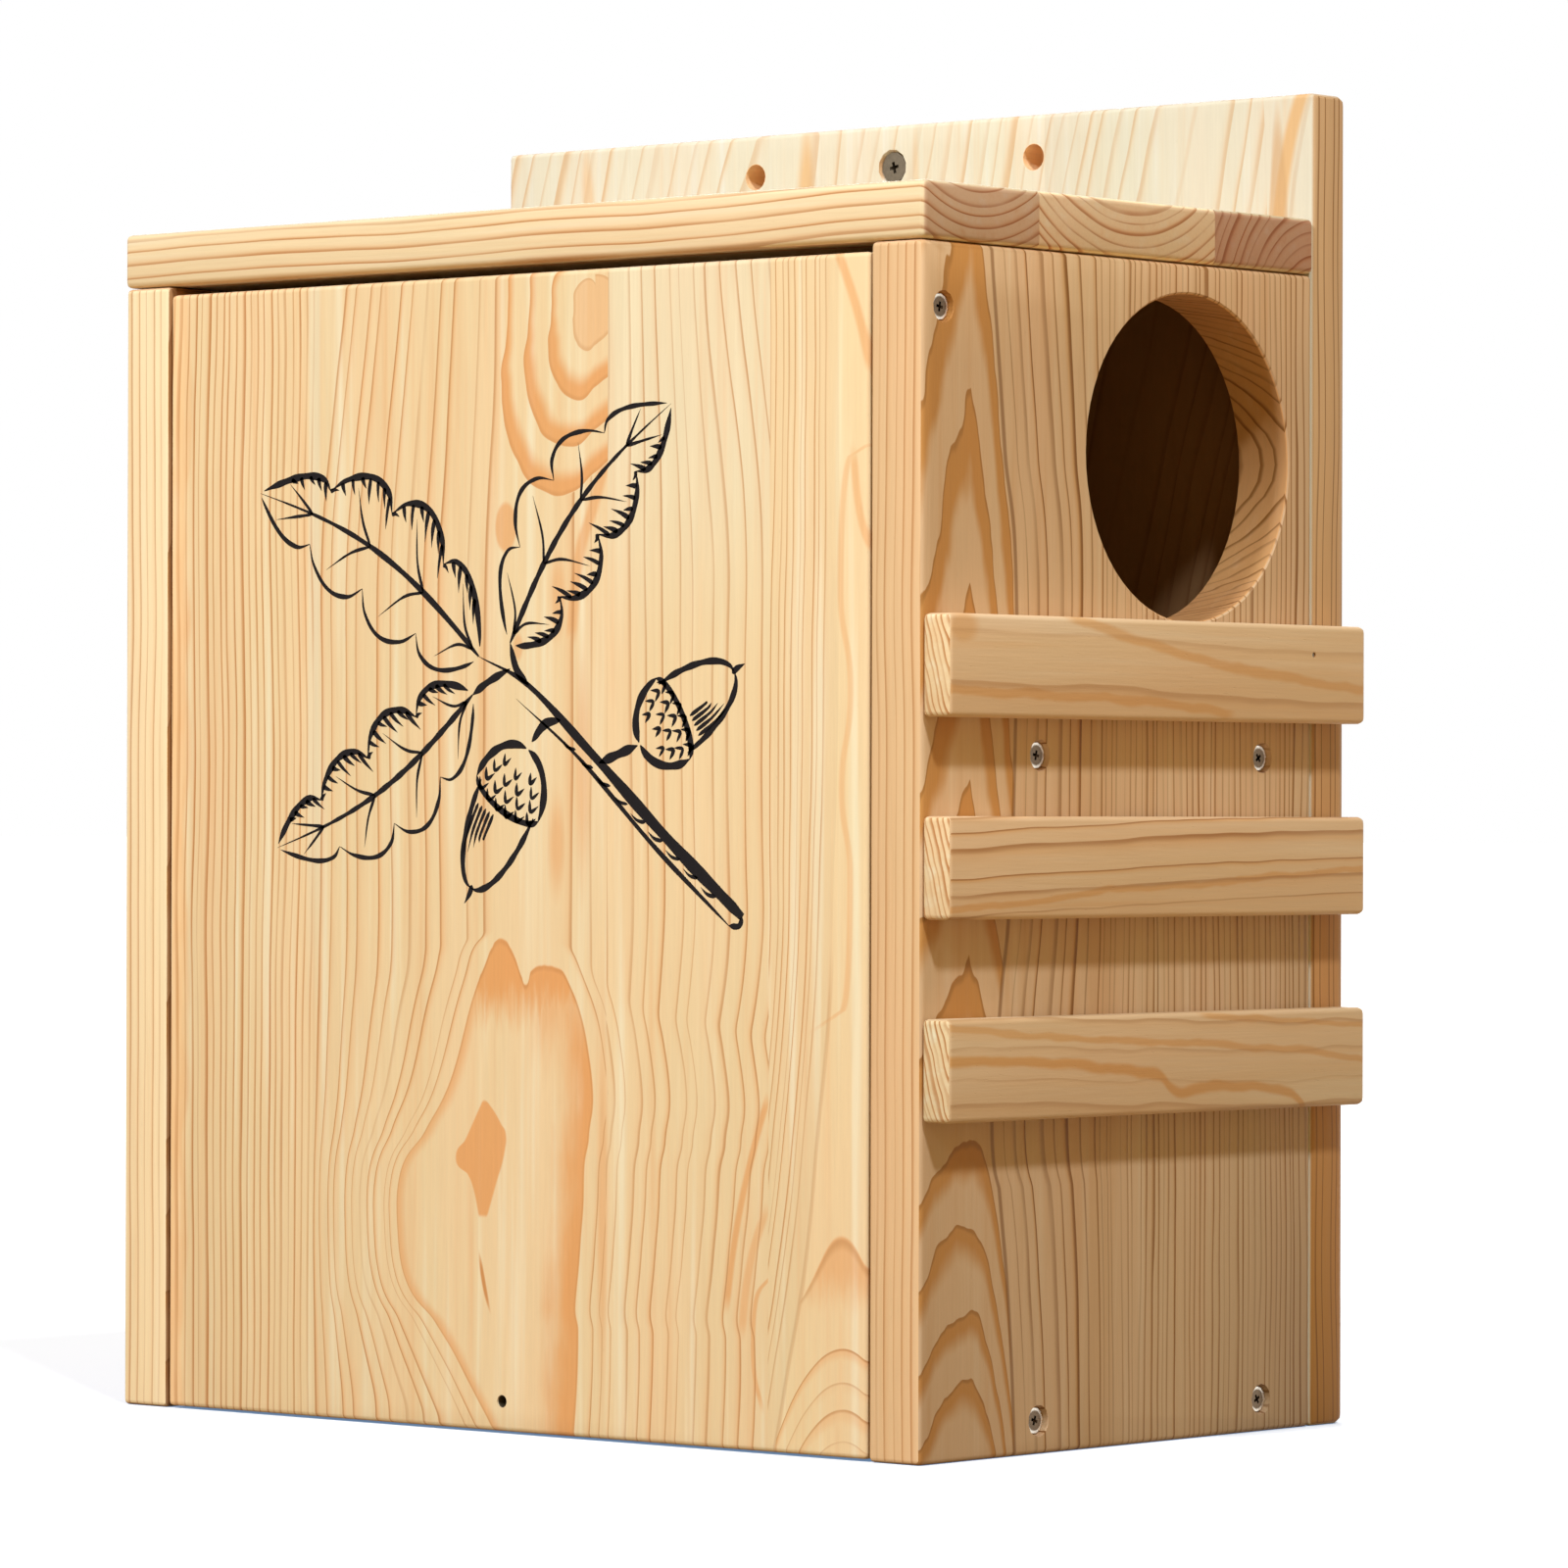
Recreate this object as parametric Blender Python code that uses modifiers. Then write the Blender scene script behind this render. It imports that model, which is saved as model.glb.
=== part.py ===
"""Wooden squirrel house, built from glued pine boards and countersunk screws.

Two sides stand between a floor and a lid, against a taller backboard with hanging holes.
The front board is a door: it hangs on two screws near its top edge and swings out from the
bottom. The right side has a round entrance with three climbing slats below it, and a shelf
with a round passage parts the inside into two storeys.

Metres, +Z up. The door faces -Y and the entrance faces +X. The origin is the middle of the
footprint, on the underside of the floor.
"""

import math
from collections import namedtuple

import bmesh
import bpy
from mathutils import Quaternion, Vector

# Sides, floor and shelf
BODY_WIDTH = 0.253
SIDE_DEPTH = 0.144
SIDE_HEIGHT = 0.272
SIDE_THICKNESS = 0.015
FLOOR_THICKNESS = 0.015
SHELF_THICKNESS = 0.015
SHELF_HEIGHT = 0.1503
SEAT_GAP = 0.0003
BOARD_ROUNDING = 0.0012

# Door and its pivots
DOOR_THICKNESS = 0.015
DOOR_SIDE_GAP = 0.0006
DOOR_BOTTOM_GAP = 0.0005
PIVOT_DROP = 0.0146
SWING_CLEARANCE = 0.0003
LOCK_HOLE_DIAMETER = 0.003
LOCK_HOLE_BITE = 0.012

# Lid
LID_THICKNESS = 0.013
LID_OVERHANG = 0.0005
LID_ROUNDING = 0.0014

# Backboard and its hanging holes
BACK_THICKNESS = 0.015
BACK_RISE = 0.030
BACK_OVERHANG = 0.007
BACK_FRONT_ROUNDING = 0.0012
BACK_REAR_ROUNDING = 0.0045
HANGING_HOLE_DIAMETER = 0.0065
HANGING_HOLE_PITCH = 0.045
HANGING_HOLE_DROP = 0.0104

# Round openings for the squirrel, and the drain holes
ENTRANCE_DIAMETER = 0.076
ENTRANCE_SETBACK = 0.0968
ENTRANCE_TOP_MARGIN = 0.007
EASED_RIM = 0.0005
PASSAGE_DIAMETER = 0.070
PASSAGE_INSET = 0.052
DRAIN_DIAMETER = 0.0065
DRAIN_INSET = 0.026

# Climbing slats
SLAT_THICKNESS = 0.008
SLAT_HEIGHT = 0.023
SLAT_PITCH = 0.045
SLAT_REAR_SETBACK = 0.004
SLAT_ROUNDING = 0.0012
SLAT_END_ROUNDING = 0.0024
SLAT_NAMES = ("slat_top", "slat_middle", "slat_bottom")

# Screws: diameters, how deep the heads are sunk, and how far they bite into the second board
SCREW_HEAD_DIAMETER = 0.0059
SCREW_SHANK_DIAMETER = 0.003
SCREW_SINK = 0.0012
SCREW_BITE = 0.016
PIVOT_SHANK_DIAMETER = 0.0034
SLAT_SCREW_SINK = 0.0005
SLAT_SCREW_COVER = 0.0022
HANGING_SCREW_HEAD_DIAMETER = 0.0076
HANGING_SCREW_SHANK_DIAMETER = 0.0038
HANGING_SCREW_SINK = 0.0007
HANGING_SCREW_COVER = 0.002
HEAD_LAND = 0.0003
TIP_LENGTH = 0.004
BORE_GAP = 0.0003
SEAT_FLARE = 0.0004
RECESS_SPAN_SHARE = 0.56
RECESS_WIDTH_SHARE = 0.17
RECESS_DEPTH_SHARE = 0.22
RECESS_FLOOR_SHARE = 0.35
SCREW_TURN = math.radians(47)

# Screw places, from the front and rear edges of the sides or as shares of the boards
CASE_SCREW_FRONT_INSET = 0.042
CASE_SCREW_REAR_INSET = 0.019
LID_SCREW_FRONT_INSET = 0.030
LID_SCREW_REAR_INSET = 0.010
SLAT_SCREW_INSET = 0.029
BACK_SCREW_HEIGHT_SHARES = (0.14, 0.42, 0.74)
BACK_FLOOR_SCREW_SHARE = 0.25

# Panel pin in the top slat
PIN_DIAMETER = 0.0008
PIN_SINK = 0.0003
PIN_BITE = 0.009
PIN_REAR_INSET = 0.010
PIN_TOP_INSET = 0.007

# Facets and cuts
ROUNDING_SEGMENTS = 3
ENTRANCE_SIDES = 64
SMALL_HOLE_SIDES = 16
SCREW_SIDES = 12
PIN_SIDES = 8
CUT_OVERRUN = 0.002
MERGE_DISTANCE = 0.00001
SMOOTH_ANGLE = math.radians(40)
FLAT_ANGLE = math.radians(0.2)

# Places worked out from the sizes above
HALF_WIDTH = BODY_WIDTH / 2
INNER_HALF_WIDTH = HALF_WIDTH - SIDE_THICKNESS
FRONT = -(SIDE_DEPTH + SEAT_GAP + BACK_THICKNESS) / 2
SIDE_REAR = FRONT + SIDE_DEPTH
BACK_FRONT = SIDE_REAR + SEAT_GAP
REAR = BACK_FRONT + BACK_THICKNESS
DOOR_INNER = FRONT + DOOR_THICKNESS
LID_UNDERSIDE = SIDE_HEIGHT + SEAT_GAP
LID_TOP = LID_UNDERSIDE + LID_THICKNESS
BACK_TOP = LID_TOP + BACK_RISE
EDGE_MIDDLE = HALF_WIDTH - SIDE_THICKNESS / 2
PIVOT_Y = FRONT + DOOR_THICKNESS / 2
PIVOT_Z = SIDE_HEIGHT - PIVOT_DROP
ENTRANCE_Y = FRONT + ENTRANCE_SETBACK
ENTRANCE_BOTTOM = SIDE_HEIGHT - ENTRANCE_TOP_MARGIN - ENTRANCE_DIAMETER
SHELF_MIDDLE = SHELF_HEIGHT + SHELF_THICKNESS / 2
FLOOR_MIDDLE = FLOOR_THICKNESS / 2
CASE_SCREW_YS = {
    "front": FRONT + CASE_SCREW_FRONT_INSET,
    "rear": SIDE_REAR - CASE_SCREW_REAR_INSET,
}
LID_SCREW_YS = {
    "front": FRONT + LID_SCREW_FRONT_INSET,
    "rear": SIDE_REAR - LID_SCREW_REAR_INSET,
}
SLAT_SCREW_YS = {
    "front": FRONT + SLAT_SCREW_INSET,
    "rear": SIDE_REAR - SLAT_SCREW_INSET,
}
SIDE_SIGNS = {"left": -1, "right": 1}

RIGHT = Vector((1, 0, 0))
BACK = Vector((0, 1, 0))
UP = Vector((0, 0, 1))

# Finishes: colour, roughness and metallic value
PINE_DOOR = ("pine_door", (0.83, 0.60, 0.33), 0.55, 0)
PINE_SIDE = ("pine_side", (0.70, 0.47, 0.25), 0.55, 0)
PINE_LID = ("pine_lid", (0.78, 0.53, 0.28), 0.55, 0)
PINE_BACK = ("pine_back", (0.86, 0.66, 0.40), 0.55, 0)
PINE_INNER = ("pine_inner", (0.76, 0.52, 0.29), 0.65, 0)
PINE_SLAT = ("pine_slat", (0.75, 0.52, 0.28), 0.55, 0)
ZINC_STEEL = ("zinc_steel", (0.62, 0.58, 0.50), 0.35, 1)
DARK_STEEL = ("dark_steel", (0.20, 0.17, 0.14), 0.45, 1)

ScrewKind = namedtuple("ScrewKind", "mesh seat sink")


def clear_scene():
    for obj in list(bpy.data.objects):
        bpy.data.objects.remove(obj, do_unlink=True)


def new_collection(name):
    collection = bpy.data.collections.new(name)
    bpy.context.scene.collection.children.link(collection)
    return collection


def material_for(finish):
    """The Principled material of a finish, made the first time that it is asked for."""
    name, colour, roughness, metallic = finish
    if name in bpy.data.materials:
        return bpy.data.materials[name]
    material = bpy.data.materials.new(name)
    material.use_nodes = True
    material.diffuse_color = (*colour, 1)
    shader = material.node_tree.nodes["Principled BSDF"]
    shader.inputs["Base Color"].default_value = (*colour, 1)
    shader.inputs["Roughness"].default_value = roughness
    shader.inputs["Metallic"].default_value = metallic
    return material


def add_piece(name, mesh, finish):
    """A named piece of the house, with its own material slot."""
    piece = bpy.data.objects.new(name, mesh)
    HOUSE.objects.link(piece)
    if not mesh.materials:
        mesh.materials.append(material_for(finish))
    return piece


def add_cutter(name, mesh):
    cutter = bpy.data.objects.new(name, mesh)
    CUTTERS.objects.link(cutter)
    cutter.hide_render = True
    cutter.display_type = "WIRE"
    return cutter


def cut(piece, cutter):
    boolean = piece.modifiers.new("cut_" + cutter.name, "BOOLEAN")
    boolean.operation = "DIFFERENCE"
    boolean.solver = "EXACT"
    boolean.object = cutter


def even_facets(piece):
    """Joins what the cuts left in one plane, and splits each face into even triangles."""
    join = piece.modifiers.new("join_flat_faces", "DECIMATE")
    join.decimate_type = "DISSOLVE"
    join.angle_limit = FLAT_ANGLE
    split = piece.modifiers.new("even_triangles", "TRIANGULATE")
    split.quad_method = "BEAUTY"
    split.ngon_method = "BEAUTY"


def board(name, low, high, rounding, rear_rounding, finish):
    """A board between two corners. Its edges are eased, those of its rear face by their own size."""
    low = Vector(low)
    high = Vector(high)
    mesh = bpy.data.meshes.new(name)
    form = bmesh.new()
    bmesh.ops.create_cube(form, size=1)
    bmesh.ops.scale(form, vec=high - low, verts=form.verts)
    widest = max(rounding, rear_rounding)
    weights = form.edges.layers.float.new("bevel_weight_edge")
    for edge in form.edges:
        on_rear = all(vert.co.y > 0 for vert in edge.verts)
        edge[weights] = (rear_rounding if on_rear else rounding) / widest
    form.to_mesh(mesh)
    form.free()
    piece = add_piece(name, mesh, finish)
    piece.location = (low + high) / 2
    bevel = piece.modifiers.new("eased_edges", "BEVEL")
    bevel.width = widest
    bevel.segments = ROUNDING_SEGMENTS
    bevel.limit_method = "WEIGHT"
    return piece


def rod_mesh(name, diameter, length, sides):
    """A round rod along Z, centred on its origin."""
    mesh = bpy.data.meshes.new(name)
    form = bmesh.new()
    bmesh.ops.create_cone(
        form,
        cap_ends=True,
        segments=sides,
        radius1=diameter / 2,
        radius2=diameter / 2,
        depth=length,
    )
    form.to_mesh(mesh)
    form.free()
    return mesh


def point_along(obj, direction, turn=0):
    """Turns an object so that its +Z runs along a direction, after a turn about that axis."""
    own_turn = Quaternion(UP, turn)
    obj.rotation_euler = (direction.to_track_quat("Z", "Y") @ own_turn).to_euler()


def drill(name, centre, direction, diameter, length, sides):
    """A straight round drill centred on a point."""
    drill_bit = add_cutter(name, rod_mesh(name, diameter, length + 2 * CUT_OVERRUN, sides))
    drill_bit.location = centre
    point_along(drill_bit, direction)
    return drill_bit


def turned_object(name, profile, sides):
    """A turned cutter or screw blank: a profile of (radius, height) pairs, top to bottom."""
    mesh = bpy.data.meshes.new(name)
    form = bmesh.new()
    points = [form.verts.new((radius, 0, height)) for radius, height in profile]
    for upper, lower in zip(points, points[1:]):
        form.edges.new((upper, lower))
    form.to_mesh(mesh)
    form.free()
    blank = add_cutter(name, mesh)
    lathe = blank.modifiers.new("lathe", "SCREW")
    lathe.steps = sides
    lathe.render_steps = sides
    lathe.use_merge_vertices = True
    lathe.merge_threshold = MERGE_DISTANCE
    return blank


def hole_saw(name, centre, direction, diameter, thickness):
    """A cutter for a large round hole through a board, with both of its rims eased."""
    radius = diameter / 2
    half = thickness / 2
    flare = EASED_RIM + CUT_OVERRUN
    saw = turned_object(
        name,
        [
            (0, half + CUT_OVERRUN),
            (radius + flare, half + CUT_OVERRUN),
            (radius, half - EASED_RIM),
            (radius, EASED_RIM - half),
            (radius + flare, -half - CUT_OVERRUN),
            (0, -half - CUT_OVERRUN),
        ],
        ENTRANCE_SIDES,
    )
    saw.location = centre
    point_along(saw, direction)
    return saw


def baked_mesh(obj, name):
    """The evaluated mesh of an object, which is then removed."""
    bpy.context.view_layer.update()
    evaluated = obj.evaluated_get(bpy.context.evaluated_depsgraph_get())
    mesh = bpy.data.meshes.new_from_object(evaluated)
    mesh.name = name
    bpy.data.objects.remove(obj, do_unlink=True)
    return mesh


def recess_blade(name, span, width, depth):
    """One of the two tapered blades that cut a cross recess into a head."""
    mesh = bpy.data.meshes.new(name)
    form = bmesh.new()
    corner_radius = span / 2 * math.sqrt(2)
    bmesh.ops.create_cone(
        form,
        cap_ends=True,
        segments=4,
        radius1=corner_radius * RECESS_FLOOR_SHARE,
        radius2=corner_radius,
        depth=2 * depth,
    )
    quarter = math.radians(45)
    for vert in form.verts:
        x, y, z = vert.co
        vert.co.x = x * math.cos(quarter) - y * math.sin(quarter)
        vert.co.y = (x * math.sin(quarter) + y * math.cos(quarter)) * width / span
    form.to_mesh(mesh)
    form.free()
    return add_cutter(name, mesh)


def screw_kind(name, head, shank, length, sink):
    """The mesh of a countersunk cross-recess screw, and the mesh of the seat bored for it.

    Both hang down from the top of the head, which lies at their origin.
    """
    head_radius = head / 2
    shank_radius = shank / 2
    head_height = HEAD_LAND + head_radius - shank_radius
    tip_start = length - TIP_LENGTH
    blank = turned_object(
        name + "_blank",
        [
            (0, 0),
            (head_radius, 0),
            (head_radius, -HEAD_LAND),
            (shank_radius, -head_height),
            (shank_radius, -tip_start),
            (0, -length),
        ],
        SCREW_SIDES,
    )
    span = head * RECESS_SPAN_SHARE
    width = head * RECESS_WIDTH_SHARE
    depth = head * RECESS_DEPTH_SHARE
    blades = [recess_blade(f"{name}_blade_{turn}", span, width, depth) for turn in range(2)]
    blades[1].rotation_euler.z = math.radians(90)
    for blade in blades:
        cut(blank, blade)
    mesh = baked_mesh(blank, name)
    for blade in blades:
        bpy.data.objects.remove(blade, do_unlink=True)
    mesh.shade_smooth()
    mesh.set_sharp_from_angle(angle=SMOOTH_ANGLE)
    point_reach = BORE_GAP * TIP_LENGTH / shank_radius
    mouth_flare = SEAT_FLARE * (sink + CUT_OVERRUN) / sink
    seat = turned_object(
        name + "_seat",
        [
            (0, sink + CUT_OVERRUN),
            (head_radius + BORE_GAP + mouth_flare, sink + CUT_OVERRUN),
            (head_radius + BORE_GAP, 0),
            (head_radius + BORE_GAP, -HEAD_LAND),
            (shank_radius + BORE_GAP, -head_height),
            (shank_radius + BORE_GAP, -tip_start),
            (0, -length - point_reach),
        ],
        SCREW_SIDES,
    )
    return ScrewKind(mesh, baked_mesh(seat, name + "_seat"), sink)


def drive(kind, name, face_point, direction, through, finish=ZINC_STEEL):
    """Drives a screw into a face and bores its seat through each board that it passes.

    Each screw stops at its own turn, as driven screws do.
    """
    place = Vector(face_point) + direction * kind.sink
    turn = len(HOUSE.objects) * SCREW_TURN
    screw = add_piece(name, kind.mesh, finish)
    seat = add_cutter(name + "_seat", kind.seat)
    for obj in (screw, seat):
        obj.location = place
        point_along(obj, -direction, turn)
    for piece in through:
        cut(piece, seat)
    return screw


def make_sides():
    sides = {}
    for hand, sign in SIDE_SIGNS.items():
        faces = sorted((sign * INNER_HALF_WIDTH, sign * HALF_WIDTH))
        sides[hand] = board(
            hand + "_side",
            (faces[0], FRONT, 0),
            (faces[1], SIDE_REAR, SIDE_HEIGHT),
            BOARD_ROUNDING,
            BOARD_ROUNDING,
            PINE_SIDE,
        )
    return sides


def cut_entrance(side):
    centre = Vector((EDGE_MIDDLE, ENTRANCE_Y, ENTRANCE_BOTTOM + ENTRANCE_DIAMETER / 2))
    cut(side, hole_saw("entrance_hole", centre, RIGHT, ENTRANCE_DIAMETER, SIDE_THICKNESS))


def level_board(name, underside, thickness):
    """A board that fills the plan of the inside, at one height."""
    half_width = INNER_HALF_WIDTH - SEAT_GAP
    return board(
        name,
        (-half_width, DOOR_INNER + SEAT_GAP, underside),
        (half_width, SIDE_REAR, underside + thickness),
        BOARD_ROUNDING,
        BOARD_ROUNDING,
        PINE_INNER,
    )


def make_floor():
    floor = level_board("floor", 0, FLOOR_THICKNESS)
    xs = (-INNER_HALF_WIDTH + DRAIN_INSET, INNER_HALF_WIDTH - DRAIN_INSET)
    ys = (DOOR_INNER + DRAIN_INSET, SIDE_REAR - DRAIN_INSET)
    for column, x in enumerate(xs):
        for row, y in enumerate(ys):
            drain = drill(
                f"drain_hole_{column}_{row}",
                Vector((x, y, FLOOR_MIDDLE)),
                UP,
                DRAIN_DIAMETER,
                FLOOR_THICKNESS,
                SMALL_HOLE_SIDES,
            )
            cut(floor, drain)
    return floor


def make_shelf():
    shelf = level_board("shelf", SHELF_HEIGHT, SHELF_THICKNESS)
    centre = Vector((-INNER_HALF_WIDTH + PASSAGE_INSET, (DOOR_INNER + SIDE_REAR) / 2, SHELF_MIDDLE))
    cut(shelf, hole_saw("passage_hole", centre, UP, PASSAGE_DIAMETER, SHELF_THICKNESS))
    return shelf


def make_lid():
    half_width = HALF_WIDTH + LID_OVERHANG
    return board(
        "lid",
        (-half_width, FRONT, LID_UNDERSIDE),
        (half_width, SIDE_REAR, LID_TOP),
        LID_ROUNDING,
        LID_ROUNDING,
        PINE_LID,
    )


def make_backboard():
    """The backboard, with its two open hanging holes. The middle one holds a screw."""
    low_x = -HALF_WIDTH - BACK_OVERHANG
    backboard = board(
        "backboard",
        (low_x, BACK_FRONT, 0),
        (HALF_WIDTH, REAR, BACK_TOP),
        BACK_FRONT_ROUNDING,
        BACK_REAR_ROUNDING,
        PINE_BACK,
    )
    middle = Vector((
        (low_x + HALF_WIDTH) / 2,
        (BACK_FRONT + REAR) / 2,
        BACK_TOP - HANGING_HOLE_DROP,
    ))
    for hand, sign in SIDE_SIGNS.items():
        hole = drill(
            "hanging_hole_" + hand,
            middle + RIGHT * sign * HANGING_HOLE_PITCH,
            BACK,
            HANGING_HOLE_DIAMETER,
            BACK_THICKNESS,
            SMALL_HOLE_SIDES,
        )
        cut(backboard, hole)
    kind = screw_kind(
        "hanging_screw_form",
        HANGING_SCREW_HEAD_DIAMETER,
        HANGING_SCREW_SHANK_DIAMETER,
        BACK_THICKNESS - HANGING_SCREW_SINK - HANGING_SCREW_COVER,
        HANGING_SCREW_SINK,
    )
    face_point = (middle.x, BACK_FRONT, middle.z)
    drive(kind, "hanging_screw", face_point, BACK, [backboard], DARK_STEEL)
    return backboard


def make_door(floor):
    """The door, cut back at its top so that its corners swing clear of the lid."""
    half_width = INNER_HALF_WIDTH - DOOR_SIDE_GAP
    corner_reach = LID_UNDERSIDE - PIVOT_Z - SWING_CLEARANCE
    stub = math.sqrt(corner_reach**2 - (DOOR_THICKNESS / 2) ** 2)
    door = board(
        "front_door",
        (-half_width, FRONT, DOOR_BOTTOM_GAP),
        (half_width, DOOR_INNER, PIVOT_Z + stub),
        BOARD_ROUNDING,
        BOARD_ROUNDING,
        PINE_DOOR,
    )
    lock_hole_length = DOOR_THICKNESS + SEAT_GAP + LOCK_HOLE_BITE
    lock_hole = drill(
        "lock_hole",
        Vector((0, FRONT + (lock_hole_length - CUT_OVERRUN) / 2, FLOOR_MIDDLE)),
        BACK,
        LOCK_HOLE_DIAMETER,
        lock_hole_length - CUT_OVERRUN,
        SMALL_HOLE_SIDES,
    )
    cut(door, lock_hole)
    cut(floor, lock_hole)
    return door


def make_slats():
    slats = []
    for row, name in enumerate(SLAT_NAMES):
        top = ENTRANCE_BOTTOM - row * SLAT_PITCH
        slats.append(
            board(
                name,
                (HALF_WIDTH + SEAT_GAP, FRONT, top - SLAT_HEIGHT),
                (HALF_WIDTH + SEAT_GAP + SLAT_THICKNESS, REAR - SLAT_REAR_SETBACK, top),
                SLAT_ROUNDING,
                SLAT_END_ROUNDING,
                PINE_SLAT,
            )
        )
    return slats


def screw_level_board(kind, name, piece, height, sides):
    """Four screws through the sides into the ends of the floor or the shelf."""
    for hand, sign in SIDE_SIGNS.items():
        for end, y in CASE_SCREW_YS.items():
            face_point = (sign * HALF_WIDTH, y, height)
            drive(kind, f"{name}_{hand}_{end}", face_point, -sign * RIGHT, [sides[hand], piece])


def screw_lid(lid, sides):
    kind = screw_kind(
        "lid_screw_form",
        SCREW_HEAD_DIAMETER,
        SCREW_SHANK_DIAMETER,
        LID_THICKNESS + SEAT_GAP + SCREW_BITE - SCREW_SINK,
        SCREW_SINK,
    )
    for hand, sign in SIDE_SIGNS.items():
        for end, y in LID_SCREW_YS.items():
            face_point = (sign * EDGE_MIDDLE, y, LID_TOP)
            drive(kind, f"lid_screw_{hand}_{end}", face_point, -UP, [lid, sides[hand]])


def screw_backboard(backboard, sides, floor):
    kind = screw_kind(
        "back_screw_form",
        SCREW_HEAD_DIAMETER,
        SCREW_SHANK_DIAMETER,
        BACK_THICKNESS + SEAT_GAP + SCREW_BITE - SCREW_SINK,
        SCREW_SINK,
    )
    for hand, sign in SIDE_SIGNS.items():
        for row, share in enumerate(BACK_SCREW_HEIGHT_SHARES):
            face_point = (sign * EDGE_MIDDLE, REAR, SIDE_HEIGHT * share)
            drive(kind, f"back_screw_{hand}_{row + 1}", face_point, -BACK, [backboard, sides[hand]])
        face_point = (sign * BODY_WIDTH * BACK_FLOOR_SCREW_SHARE, REAR, FLOOR_MIDDLE)
        drive(kind, f"back_screw_floor_{hand}", face_point, -BACK, [backboard, floor])


def screw_slats(slats, side):
    """Two screws from inside the house into the back of each slat, short of its face."""
    kind = screw_kind(
        "slat_screw_form",
        SCREW_HEAD_DIAMETER,
        SCREW_SHANK_DIAMETER,
        SIDE_THICKNESS + SEAT_GAP + SLAT_THICKNESS - SLAT_SCREW_SINK - SLAT_SCREW_COVER,
        SLAT_SCREW_SINK,
    )
    for row, slat in enumerate(slats):
        height = ENTRANCE_BOTTOM - row * SLAT_PITCH - SLAT_HEIGHT / 2
        for end, y in SLAT_SCREW_YS.items():
            name = f"{slat.name}_screw_{end}"
            drive(kind, name, (INNER_HALF_WIDTH, y, height), RIGHT, [side, slat])


def pin_slat(slat, side):
    """The panel pin that holds the rear of the top slat while it is screwed."""
    length = SLAT_THICKNESS + SEAT_GAP + PIN_BITE - PIN_SINK
    face = HALF_WIDTH + SEAT_GAP + SLAT_THICKNESS
    y = SIDE_REAR - PIN_REAR_INSET
    z = ENTRANCE_BOTTOM - PIN_TOP_INSET
    pin = add_piece("slat_pin", rod_mesh("slat_pin", PIN_DIAMETER, length, PIN_SIDES), DARK_STEEL)
    pin.location = (face - PIN_SINK - length / 2, y, z)
    point_along(pin, RIGHT)
    bore_length = PIN_SINK + length + BORE_GAP
    bore = drill(
        "slat_pin_bore",
        Vector((face - (bore_length - CUT_OVERRUN) / 2, y, z)),
        RIGHT,
        PIN_DIAMETER + 2 * BORE_GAP,
        bore_length - CUT_OVERRUN,
        PIN_SIDES,
    )
    cut(slat, bore)
    cut(side, bore)


def hang_door(door, sides):
    """Two pivot screws turn in the sides and bite into the door's ends."""
    pivot = bpy.data.objects.new("door_pivot", None)
    HOUSE.objects.link(pivot)
    pivot.location = (0, PIVOT_Y, PIVOT_Z)
    kind = screw_kind(
        "pivot_screw_form",
        SCREW_HEAD_DIAMETER,
        PIVOT_SHANK_DIAMETER,
        SIDE_THICKNESS + DOOR_SIDE_GAP + SCREW_BITE - SCREW_SINK,
        SCREW_SINK,
    )
    hung = [door]
    for hand, sign in SIDE_SIGNS.items():
        face_point = (sign * HALF_WIDTH, PIVOT_Y, PIVOT_Z)
        name = "pivot_screw_" + hand
        hung.append(drive(kind, name, face_point, -sign * RIGHT, [sides[hand], door]))
    for piece in hung:
        piece.location = Vector(piece.location) - pivot.location
        piece.parent = pivot


def make_house():
    sides = make_sides()
    cut_entrance(sides["right"])
    floor = make_floor()
    shelf = make_shelf()
    lid = make_lid()
    backboard = make_backboard()
    door = make_door(floor)
    slats = make_slats()
    case_screw = screw_kind(
        "case_screw_form",
        SCREW_HEAD_DIAMETER,
        SCREW_SHANK_DIAMETER,
        SIDE_THICKNESS + SEAT_GAP + SCREW_BITE - SCREW_SINK,
        SCREW_SINK,
    )
    screw_level_board(case_screw, "floor_screw", floor, FLOOR_MIDDLE, sides)
    screw_level_board(case_screw, "shelf_screw", shelf, SHELF_MIDDLE, sides)
    screw_lid(lid, sides)
    screw_backboard(backboard, sides, floor)
    screw_slats(slats, sides["right"])
    pin_slat(slats[0], sides["right"])
    hang_door(door, sides)
    for piece in (*sides.values(), floor, shelf, lid, backboard, door, *slats):
        even_facets(piece)


clear_scene()
HOUSE = new_collection("squirrel_house")
CUTTERS = new_collection("cutters")
CUTTERS.hide_render = True
make_house()
bpy.context.view_layer.update()
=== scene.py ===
"""Looks of the squirrel house: glued pine boards, zinc screws and a printed oak sprig.

Wood is a count of growth rings, worked out in the house's own millimetres. A finish turns the count
into pale early wood, a wash of orange late wood and a thin brown line where each year ends.
"""

import math
from collections import namedtuple

import bmesh
import bpy
from mathutils import Matrix, Vector


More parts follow.
